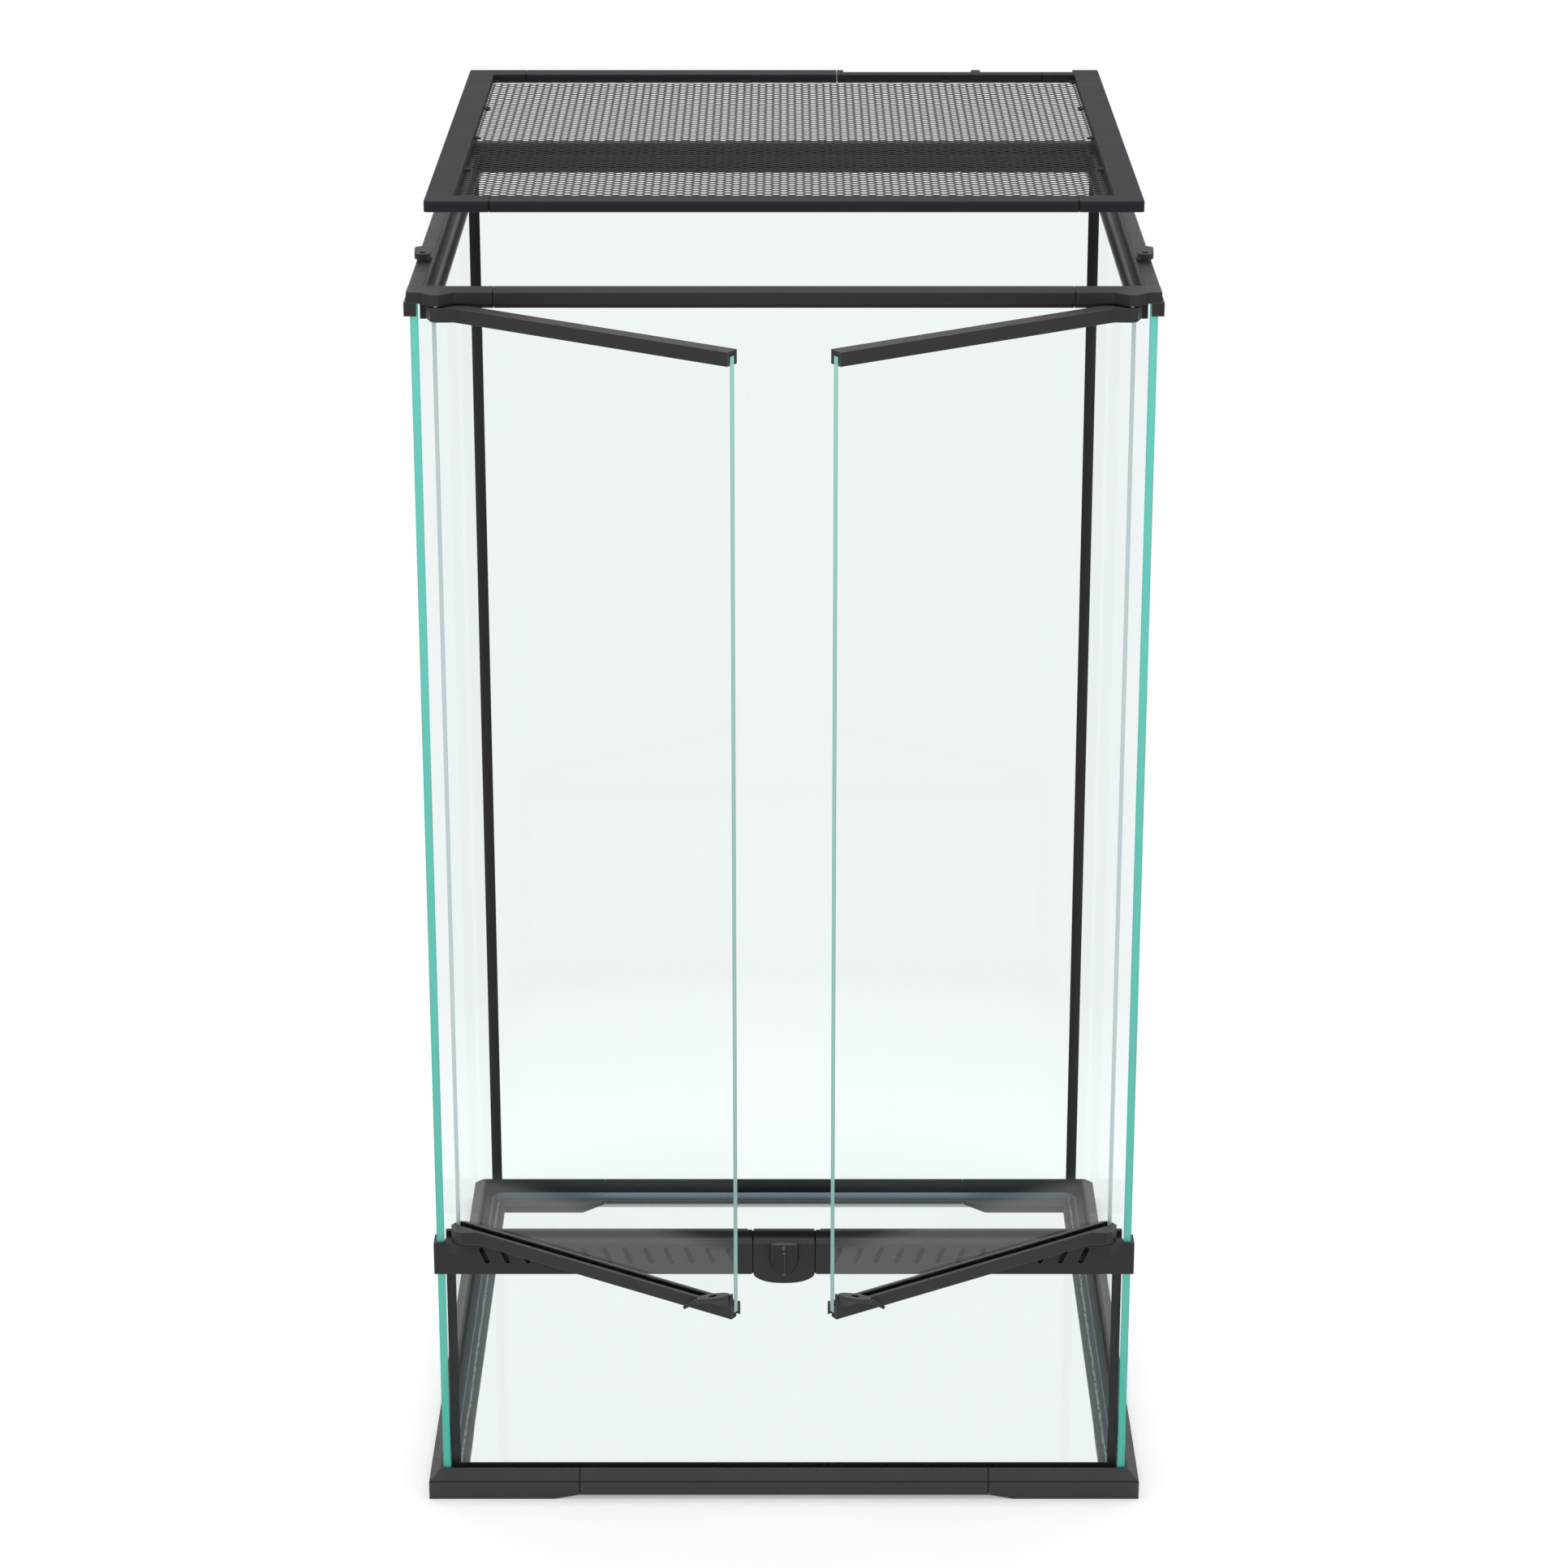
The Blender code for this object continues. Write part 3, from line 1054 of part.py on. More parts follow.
def open_reach():
    """How far the open door handles stand in front of the middle of the case."""
    reach = 0.0
    front_wall = DOOR_MIDDLE - DOOR_SLOT
    centre = (DOOR_INNER - HANDLE_LENGTH / 2, front_wall - HANDLE_REACH / 2)
    rings = plate_ring(centre, HANDLE_LENGTH / 2 - GLUE, HANDLE_REACH / 2, 0.0)
    corners = [(x, y) for x, y, _ in rings] + [(DOOR_INNER, DOOR_FRONT)]
    for x, y in corners:
        reach = max(reach, x * math.sin(DOOR_OPEN) - y * math.cos(DOOR_OPEN))
    return reach - HINGE_Y


def build():
    clear_scene()
    plastic = make_material("black_plastic", (0.030, 0.030, 0.033), 0.55)
    knob_plastic = make_material("knob_plastic", (0.030, 0.030, 0.032), 0.50)
    glass = make_material("clear_glass", (0.80, 0.93, 0.90), 0.03, alpha=0.25)
    rubber = make_material("black_silicone", (0.012, 0.012, 0.012), 0.60)
    steel = make_material("steel", (0.55, 0.55, 0.56), 0.35, metallic=1.0)
    net_metal = make_material("net_metal", (0.38, 0.38, 0.39), 0.40, metallic=0.8)
    shift = (open_reach() - (HALF_D + BASE_OUT)) / 2
    case = pivot("case", (0.0, shift, 0.0), None)
    build_base(plastic, case)
    build_glass(glass, rubber, case)
    build_top(plastic, case)
    build_bar(plastic, knob_plastic, steel, case)
    build_doors(glass, plastic, steel, case)
    build_lid(plastic, net_metal, case)
    build_latches(plastic, steel, case)
    bpy.context.view_layer.update()


build()
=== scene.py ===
# %% [markdown]
# # A tall glass terrarium, doors ajar and lid lifted
#
# The object is a glass box held between a black base frame and a black top frame. Two glass
# doors swing on pins at the front, a slotted bar lets air in under them, and a lid with a metal
# net lifts off the top. The solid model already has every moulded part and pane at its true
# size. This lesson dresses it: it gives each part a finish made of nodes, it makes the fine net
# and the latch screws with Geometry Nodes, it models the lock's thumb turn, and it sets up a
# camera, a floor and soft light. All lengths are in metres, unless a name says otherwise.

# %% Load the solid model
import json
import math

import bmesh
import bpy
from mathutils import Matrix, Vector


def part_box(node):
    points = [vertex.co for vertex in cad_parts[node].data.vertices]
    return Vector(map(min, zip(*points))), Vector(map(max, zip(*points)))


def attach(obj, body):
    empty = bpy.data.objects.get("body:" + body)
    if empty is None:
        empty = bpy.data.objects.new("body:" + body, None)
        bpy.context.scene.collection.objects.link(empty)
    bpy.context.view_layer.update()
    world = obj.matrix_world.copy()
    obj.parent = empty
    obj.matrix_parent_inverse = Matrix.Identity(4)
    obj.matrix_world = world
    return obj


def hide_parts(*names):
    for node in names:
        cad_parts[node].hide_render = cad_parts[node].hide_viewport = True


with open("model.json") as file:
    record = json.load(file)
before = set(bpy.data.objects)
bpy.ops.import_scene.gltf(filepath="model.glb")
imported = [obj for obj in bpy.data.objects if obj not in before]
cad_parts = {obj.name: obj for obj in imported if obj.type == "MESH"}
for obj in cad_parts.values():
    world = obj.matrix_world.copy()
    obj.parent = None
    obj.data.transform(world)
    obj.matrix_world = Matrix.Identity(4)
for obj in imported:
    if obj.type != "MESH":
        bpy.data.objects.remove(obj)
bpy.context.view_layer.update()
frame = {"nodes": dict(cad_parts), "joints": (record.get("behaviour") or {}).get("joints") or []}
nodes = frame["nodes"]
joints = {joint["name"]: joint for joint in frame["joints"]}

# %% [markdown]
# ## The camera
#
# The photograph looks down at the front from about eye height. It was put together from more
# than one point of view: the lid is seen from lower down than the floor. One camera can't do
# both, so this one stands where the errors at the frame corners, the lid, the doors and the bar
# are smallest. Its distance is measured from the front of the top frame, and its height from
# the floor.

# %% Camera
CAMERA_BACK = 2.60
CAMERA_HEIGHT = 1.43
CAMERA_PITCH = math.radians(19.706)
FOCAL_PIXELS = 5456.0
PHOTO_PIXELS = 1932.0
SENSOR_MM = 36.0
FAR_CLIP = 200.0

front_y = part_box("top_rail_front")[0].y
floor_low, floor_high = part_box("floor_glass")
case_y = (floor_low.y + floor_high.y) / 2
eye = bpy.data.objects.new("camera", bpy.data.cameras.new("camera"))
bpy.context.collection.objects.link(eye)
eye.location = (0.0, front_y - CAMERA_BACK, CAMERA_HEIGHT)
eye.rotation_euler = (math.pi / 2 - CAMERA_PITCH, 0.0, 0.0)
eye.data.sensor_width = SENSOR_MM
eye.data.lens = SENSOR_MM * FOCAL_PIXELS / PHOTO_PIXELS
eye.data.clip_end = FAR_CLIP
bpy.context.scene.camera = eye
print("camera at", tuple(round(v, 3) for v in eye.location), "lens", round(eye.data.lens, 1))

# %% [markdown]
# ## Writing shader maths as plain expressions
#
# A finish is a small sum: a base colour, plus some speckle, minus some wear. Wiring that by hand
# takes many nodes. The class below wraps one node socket, and gives it the usual operators, so
# that `1 - mask * 0.3` adds the Math nodes by itself. Every other node comes from one method,
# which takes the node's type, its settings, and the values or links of its sockets.

# %% A socket with operators
class Value:
    """One output socket. Operators add Math nodes, as numbers would in Python."""

    def __init__(self, finish, socket):
        self.finish = finish
        self.socket = socket

    def maths(self, operation, *others, clamp=False):
        settings = {"operation": operation, "use_clamp": clamp}
        return self.finish.node("ShaderNodeMath", settings, dict(enumerate((self, *others))))

    def __add__(self, other):
        return self.maths("ADD", other)

    def __sub__(self, other):
        return self.maths("SUBTRACT", other)

    def __rsub__(self, other):
        return self.finish.node("ShaderNodeMath", {"operation": "SUBTRACT"}, {0: other, 1: self})

    def __mul__(self, other):
        return self.maths("MULTIPLY", other)

    def __truediv__(self, other):
        return self.maths("DIVIDE", other)

    def __pow__(self, other):
        return self.maths("POWER", other)

    def __lt__(self, other):
        return self.maths("LESS_THAN", other)

    def __gt__(self, other):
        return self.maths("GREATER_THAN", other)

    def __abs__(self):
        return self.maths("ABSOLUTE")

    def larger(self, other):
        return self.maths("MAXIMUM", other)

    def clamp(self):
        return self.maths("ADD", 0.0, clamp=True)

    __radd__ = __add__
    __rmul__ = __mul__


print("a Value turns these into Math nodes: + - * / ** < > abs()")


# %% A finish that builds its own nodes
AXIS_X, AXIS_Y, AXIS_Z = range(3)
WHITE = (1.0, 1.0, 1.0, 1.0)


class Finish:
    """A material under construction."""

    def __init__(self, name):
        self.material = bpy.data.materials.new(name)
        self.material.use_nodes = True
        self.tree = self.material.node_tree
        self.tree.nodes.clear()

    def node(self, kind, settings=None, inputs=None, output=0):
        """Add a node, set its settings, then fill its sockets, and return one output."""
        made = self.tree.nodes.new(kind)
        for key, value in (settings or {}).items():
            setattr(made, key, value)
        for key, value in (inputs or {}).items():
            if isinstance(value, Value):
                self.tree.links.new(value.socket, made.inputs[key])
            else:
                made.inputs[key].default_value = value
        return Value(self, made.outputs[output])

    def place(self):
        """The point in the object's own coordinates."""
        return self.node("ShaderNodeTexCoord", output="Object")

    def upward(self):
        """How much the surface faces up, from -1 to 1."""
        return self.axes(self.node("ShaderNodeTexCoord", output="Normal"))[AXIS_Z]

    def axes(self, point):
        split = self.node("ShaderNodeSeparateXYZ", inputs={0: point})
        return [Value(self, split.socket.node.outputs[axis]) for axis in "XYZ"]

    def turned_back(self, point, centre, turn):
        """The point before a turn about the upright line through centre."""
        inputs = {0: point, 1: centre, 2: (0.0, 0.0, turn)}
        return self.node("ShaderNodeMapping", {"vector_type": "TEXTURE"}, inputs)

    def noise(self, point, scale, detail=2.0, roughness=0.5):
        """Noise from 0 to 1. scale counts its waves in a metre, or gives three counts, by axis."""
        if isinstance(scale, tuple):
            point = self.node("ShaderNodeMapping", inputs={0: point, 3: scale})
            scale = 1.0
        inputs = {"Vector": point, "Scale": scale, "Detail": detail, "Roughness": roughness}
        return self.node("ShaderNodeTexNoise", inputs=inputs, output="Fac")

    def blend(self, factor, first, second):
        """Mix two colours, given as RGB triples or sockets."""
        pair = [c if isinstance(c, Value) else (*c, 1.0) for c in (first, second)]
        inputs = {0: factor, 6: pair[0], 7: pair[1]}
        return self.node("ShaderNodeMix", {"data_type": "RGBA"}, inputs, output=2)

    def bump(self, strength, distance, height, **more):
        inputs = {"Strength": strength, "Distance": distance, "Height": height, **more}
        return self.node("ShaderNodeBump", inputs=inputs)

    def surface(self, inputs):
        return self.node("ShaderNodeBsdfPrincipled", inputs=inputs)

    def layer(self, factor, below, above):
        """Mix two shaders."""
        return self.node("ShaderNodeMixShader", inputs={0: factor, 1: below, 2: above})

    def finish(self, shader):
        """Join the shader to the output, and return the material."""
        out = self.tree.nodes.new("ShaderNodeOutputMaterial")
        self.tree.links.new(shader.socket, out.inputs["Surface"])
        return self.material


print("a Finish can make:", ", ".join(name for name in vars(Finish) if name[0] != "_"))


# %% [markdown]
# ## Moulded black plastic
#
# The frames, doors' rails, bar and latches are moulded in black plastic. It isn't quite black:
# it has a fine grain from the mould that softens the light, slightly uneven gloss, and a pale
# colour on what faces up, which is partly dust and partly painted sheen of the light from above.
# Its edges carry a painted highlight. The grain is a Bump node, the soft edge comes from a Bevel
# node that feeds it, and the same bevel also tells where an edge is, because there it turns the
# normal away from the face's own, so the highlight is painted there.
#
# Some marks have a place of their own, and are masks made from the coordinates: hair lines of
# painted shade at the seams and along a crease, a line of glue on the ledge of the base with the
# ledge painted paler as a painted sheen, painted shade on the base's wall behind the panes, and
# painted shade inside the bar, in the top frame's lip and in the slot that each door pane
# stands in.

# %% Painted shade in hair lines at the seams
LINE_CORE = 1.3
SEAM_HALF = 0.00060
CREASE_HALF = 0.00060
SHADOW = (0.0035, 0.0035, 0.004)


def hair_line(distance, half, core=LINE_CORE):
    """1 on a line and 0 off it. A core above 1 keeps the middle of the line at 1."""
    return (core - distance / half).clamp()


def seam_mask(mat, place, seams):
    """1 in a hair line of painted shade at plus and minus each seam, given as distances in X and in
    Y.
    """
    x, y, _ = mat.axes(place)
    across, along = [hair_line(abs(abs(axis) - seam), SEAM_HALF)
                     for axis, seam in zip((x, y - case_y), seams)]
    return across.larger(along)


def seams_of(ring):
    """Where the rails of a ring of rails and corners end, from its front and right rails."""
    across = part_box(ring + "_rail_front")[1].x
    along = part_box(ring + "_rail_right")[1].y - case_y
    return across, along


seams = {ring: seams_of(ring) for ring in ("base", "top", "lid")}
print("seams at", {ring: [round(v, 4) for v in places] for ring, places in seams.items()})


# %% The slot of a door pane, where shade is painted
SLOT_ROOM = 0.0008
SLOT_END = 0.0012
FAR_OUT = 1.0


def inside(mat, place, low, high):
    """1 within a box, given by two opposite corners."""
    mask = 1.0
    for axis, near, far in zip(mat.axes(place), low, high):
        mask = mask * (axis > near) * (axis < far)
    return mask


def in_door(mat, place):
    """Coordinates in the right door, turned back to closed; the left is mirrored onto it."""
    x, y, z = mat.axes(place)
    mirrored = mat.node("ShaderNodeCombineXYZ", inputs={0: abs(x), 1: y, 2: z})
    return mat.turned_back(mirrored, door_pivot, door_ajar)


def pane_limits(node, turn, centre):
    """Lowest and highest corner of a pane in its own, turned-back coordinates."""
    back = Matrix.Rotation(-turn, 3, "Z")
    points = [back @ (vertex.co - centre) for vertex in nodes[node].data.vertices]
    low = Vector([min(point[i] for point in points) for i in range(3)])
    high = Vector([max(point[i] for point in points) for i in range(3)])
    return low, high


door_hinge = joints["door_right_hinge"]
door_pivot = Vector((*door_hinge["pos_m"][:2], 0.0))
door_ajar = math.radians(-door_hinge["range_deg"][0])
low, high = pane_limits("door_glass_right", door_ajar, door_pivot)
slot_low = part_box("door_lower_rail_right")[0].z + SLOT_END
slot_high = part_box("door_upper_rail_right")[1].z - SLOT_END
pane_slot = ((-FAR_OUT, low.y - SLOT_ROOM, slot_low), (FAR_OUT, high.y + SLOT_ROOM, slot_high))
print("slot of a door pane", [tuple(round(v, 4) for v in corner) for corner in pane_slot])


# %% Glue on the ledge of the base, with painted sheen and painted shade
GLUE_AT = 0.2155
GLUE_COVER = 0.8
WANDER, WANDER_SCALE = 0.0022, 45.0
LEDGE_TOP, LEDGE_FACES_UP = 0.0062, 0.5
LEDGE_SHEEN, LEDGE_SHEEN_COVER = (0.30, 0.31, 0.33), 0.22
SMEAR_HALF = 0.0024
SMEAR_BLACK = (0.012, 0.011, 0.010)
BEAD_HALF = 0.00090
BEAD_STRETCH = (1800.0, 160.0, 160.0)
BEAD_BREAKS = 0.44
BEAD_GREY = (0.50, 0.50, 0.48)
WALL_NEAR, WALL_FAR, WALL_FOOT = 0.2240, 0.2258, 0.0056


def glued(mat, place, up, color):
    """A dark smear with a pale, broken bead on the ledge, painted sheen on the ledge,
    and painted shade on the wall behind the panes.
    """
    x, y, z = mat.axes(place)
    wander = (mat.noise(place, WANDER_SCALE, 4.0, 0.7) - 0.5) * WANDER
    away = abs(abs(x) + wander - GLUE_AT)
    ledge = (z < LEDGE_TOP) * (up > LEDGE_FACES_UP)
    smear = hair_line(away, SMEAR_HALF, 1.2) * GLUE_COVER
    bead = hair_line(away, BEAD_HALF, 1.4) * (mat.noise(place, BEAD_STRETCH, 3.0) > BEAD_BREAKS)
    # Painted sheen: the ledge, which faces up, is made paler.
    pale = mat.blend(ledge * LEDGE_SHEEN_COVER, color, LEDGE_SHEEN)
    smeared = mat.blend(smear * ledge, pale, SMEAR_BLACK)
    beaded = mat.blend(bead * ledge * GLUE_COVER, smeared, BEAD_GREY)
    # Painted shade: the inner wall of the base behind the panes is made dark.
    reach = abs(x).larger(abs(y - case_y))
    wall = (reach > WALL_NEAR) * (reach < WALL_FAR) * (z > WALL_FOOT)
    return mat.blend(wall, beaded, SHADOW)


print("glue line", GLUE_AT, "from the middle, about", 2000 * SMEAR_HALF, "mm wide")


# %% Plastic finishes
CLOUD_SCALE = 22.0
SPECKLE_SCALE = 1500.0
GRAIN_SCALE = 3200.0
GRAIN_DEPTH = 0.00020
# The pale colour on what faces up is partly dust and partly painted sheen of the light from above.
DUST_AND_SHEEN = (0.30, 0.30, 0.30)
DUST_SHEEN_FROM, DUST_SHEEN_RATE = 0.6, 2.0
DUST_SHEEN_EVEN, DUST_SHEEN_PATCHY = 0.35, 0.65
DARKER, LIGHTER = 0.82, 1.18
FLECK_GAIN, FLECK_LIFT = 2.4, 0.01
# Painted highlight: the colour that the edges are lightened towards.
EDGE_HIGHLIGHT = (0.20, 0.20, 0.205)
EDGE_RATE = 2.2
KNOB_HIGHLIGHT = (0.15, 0.15, 0.155)
UNEVEN_GLOSS, SPECKLED_GLOSS = 0.16, 0.10


def moulded(name, shade, roughness=0.52, grain=0.30, edge=0.0006, gloss=0.30, rim_light=0.75,
            dust_and_sheen_level=0.06, ring=None, crease=None, hollow=None, dimmed=1.0, glue=False,
            groove=False, toned=False):
    """Black plastic with edges rounded by edge, a painted highlight on them set by rim_light,
    and a pale colour on what faces up that is partly dust and partly painted sheen.

    ring names the set of rails whose seams get a hair line of painted shade, and crease is the
    height of a fine line of painted shade. hollow is the lowest and highest corner of a space
    whose walls are dimmed with painted shade. glue adds the line on the ledge, with the ledge
    painted paler as a painted sheen and painted shade on the wall behind the panes; groove paints
    shade in the slot that a door pane stands in, and toned reads the painted highlight and shade
    stored in the mesh.
    """
    mat = Finish(name)
    place = mat.place()
    cloud = mat.noise(place, CLOUD_SCALE, 3.0)
    speckle = mat.noise(place, SPECKLE_SCALE, 2.0, 0.7)
    fine = mat.noise(place, GRAIN_SCALE, 2.0, 0.6)
    soft = mat.node("ShaderNodeBevel", {"samples": 4}, {"Radius": edge})
    own = mat.node("ShaderNodeNewGeometry", output="Normal")
    dot = {"operation": "DOT_PRODUCT"}
    agree = mat.node("ShaderNodeVectorMath", dot, {0: soft, 1: own}, output="Value")
    # Painted highlight: where the bevel turns the normal away from the face's own, the colour is
    # lightened.
    rim = ((1 - agree) * EDGE_RATE).clamp()
    up = mat.upward()
    # Painted sheen: what faces up is made paler, partly as dust and partly as the light from above.
    dust_and_sheen = ((up - DUST_SHEEN_FROM) * DUST_SHEEN_RATE).clamp() * (DUST_SHEEN_EVEN + cloud * DUST_SHEEN_PATCHY)
    uneven = mat.blend(cloud, [c * DARKER for c in shade], [c * LIGHTER for c in shade])
    pale = [c * FLECK_GAIN + FLECK_LIFT for c in shade]
    flecked = mat.blend((speckle - 0.5).clamp() * 0.5, uneven, pale)
    dusted_and_sheened = mat.blend(dust_and_sheen * dust_and_sheen_level, flecked, DUST_AND_SHEEN)
    # Painted shade: dark hair lines in the seams between parts and along the crease of the base.
    seam_and_crease_shade = seam_mask(mat, place, seams[ring]) if ring else 0.0
    if crease:
        seam_and_crease_shade = hair_line(abs(mat.axes(place)[AXIS_Z] - crease), CREASE_HALF).larger(seam_and_crease_shade)
    color = mat.blend(rim * rim_light * (1 - seam_and_crease_shade), dusted_and_sheened, EDGE_HIGHLIGHT)
    if ring:
        color = mat.blend(seam_and_crease_shade, color, SHADOW)
    # Painted shade: the walls inside a hollow are darkened.
    if hollow:
        color = mat.blend(inside(mat, place, *hollow) * dimmed, color, SHADOW)
    # Painted shade in the slot that each door pane stands in.
    if groove:
        color = mat.blend(inside(mat, in_door(mat, place), *pane_slot), color, SHADOW)
    if toned:
        # Painted highlight above 0 and painted shade below 0, stored in the thumb turn's mesh.
        tone = mat.node("ShaderNodeAttribute", {"attribute_name": "tone"}, output="Fac")
        color = mat.blend(tone.clamp(), color, KNOB_HIGHLIGHT)
        color = mat.blend((tone * -1.0).clamp(), color, SHADOW)
    if glue:
        color = glued(mat, place, up, color)
    bump = mat.bump(grain, GRAIN_DEPTH, fine + speckle, Normal=soft)
    mottle = (cloud - 0.5) * UNEVEN_GLOSS
    rough = (roughness + mottle + (speckle - 0.5) * SPECKLED_GLOSS).clamp()
    inputs = {"Base Color": color, "Roughness": rough, "Normal": bump, "Specular IOR Level": gloss}
    return mat.finish(mat.surface(inputs))


print("mould grain", round(GRAIN_DEPTH * 1e6), "micrometres deep at most")


# %% One finish for each set of mouldings
# Height of the crease of the base, drawn as a line of painted shade.
CREASE_HEIGHT = 0.0126
CHANNEL_HALF, CHANNEL_TOP = 0.2240, 0.1804
CHANNEL_FRONT, CHANNEL_BACK, CHANNEL_BELOW = 0.00005, 0.0006, 0.01
LIP_HALF, LIP_DROP = 0.2160, 0.0073
LIP_FRONT, LIP_BACK, LIP_BELOW = 0.0005, 0.0010, 0.001

bar_low, bar_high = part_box("lock_housing")
# Boxes where painted shade darkens the inside of the bar and the top frame's lip.
channel = ((-CHANNEL_HALF, bar_low.y + CHANNEL_FRONT, bar_low.z - CHANNEL_BELOW),
           (CHANNEL_HALF, bar_high.y - CHANNEL_BACK, CHANNEL_TOP))
frame_low, frame_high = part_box("top_rail_front")
under_lip = ((-LIP_HALF, frame_low.y + LIP_FRONT, frame_low.z - LIP_BELOW),
             (LIP_HALF, frame_high.y - LIP_BACK, frame_high.z - LIP_DROP))
door_black = moulded("door_black", (0.018, 0.018, 0.019), roughness=0.50, rim_light=1.0,
                     dust_and_sheen_level=0.24, groove=True)
frame_black = moulded("frame_black", (0.014, 0.014, 0.015), dust_and_sheen_level=0.08, ring="top",
                      hollow=under_lip, dimmed=0.7)
bar_black = moulded("bar_black", (0.017, 0.017, 0.018), edge=0.0004, rim_light=0.45,
                    hollow=channel)
base_black = moulded("base_black", (0.034, 0.034, 0.0375), rim_light=0.6, ring="base",
                     crease=CREASE_HEIGHT, glue=True)
lid_black = moulded("lid_black", (0.0195, 0.0205, 0.0260), roughness=0.60, gloss=0.08,
                    rim_light=0.85, dust_and_sheen_level=0.0, ring="lid")
knob_black = moulded("knob_black", (0.018, 0.018, 0.019), roughness=0.50, grain=0.20,
                     edge=0.0004, gloss=0.25, rim_light=0.5, toned=True)
print("plastic finishes:", sum(m.name.endswith("_black") for m in bpy.data.materials))


# %% [markdown]
# ## Glass panes
#
# A pane seen face on is nearly invisible: it tints what lies behind it a little, and mirrors a
# little of the room, more at a shallow angle. Its cut edge is another thing. Light that was
# caught inside the sheet leaves there, green from the iron in the glass, so the edge glows. That
# glow is painted into the edge's green colour: brighter towards the top, darker along the skin of
# the sheet, pale on the doors' hinge edges and dark on the buried edges. A clear shader for the
# faces and a green one for the edges are mixed by a mask, which is 1 where the point lies on the
# outside of the sheet. Door panes stand at an angle, so a Mapping node turns their coordinates
# back first. The mirror strength uses the facing angle, not the Fresnel node, which would turn
# the far side of each pane into a full mirror.
#
# Two kinds of pane have more to show. The doors carry a pale, even film of painted glow just
# above their lower rails, which is a weak Emission mixed in. The low front pane stands in a bed
# of black glue, painted dark as the shade at its foot.

# %% Glass finishes
# Painted glow of the cut edges: bright towards the top, dull towards the bottom, pale at the door
# hinges and dark where buried.
BRIGHT_EDGE = (0.105, 0.66, 0.57)
DULL_EDGE = (0.055, 0.50, 0.39)
DOOR_BRIGHT = (0.27, 0.70, 0.60)
DOOR_DULL = (0.30, 0.50, 0.48)
HINGE_EDGE = (0.60, 0.70, 0.74)
BURIED_EDGE = (0.20, 0.27, 0.31)
FAINT = (0.992, 0.997, 0.998)
TINTED = (0.934, 0.956, 0.960)
EDGE_DEPTH = 0.0002
EDGE_COVER = 0.96
EDGE_STREAKS = (900.0, 900.0, 9.0)
GLOW_RISE, GLOW_STREAK = 0.9, 0.2
SKIN_POWER, SKIN_COVER, SKIN_SHADE = 6, 0.5, 0.45
CUT_ROUGH, CUT_STREAK = 0.22, 0.15
SHALLOW_POWER, SHALLOW_MIRROR = 5, 0.05
POLISH, POLISH_ROUGH = (0.95, 1.0, 1.0, 1.0), 0.02
WAVE_SCALE, WAVE_DEPTH, WAVE_STRENGTH = 5.0, 0.002, 0.02
FILM_TOP = 0.078
FILM_LIGHT = 0.78
FILM_COVER = 0.055
FILM_FADE = 60.0
FILM_OVER_RAIL = 0.0036
GLUE_OVER_LIP = 0.0008

film_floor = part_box("door_lower_rail_right")[1].z + FILM_OVER_RAIL


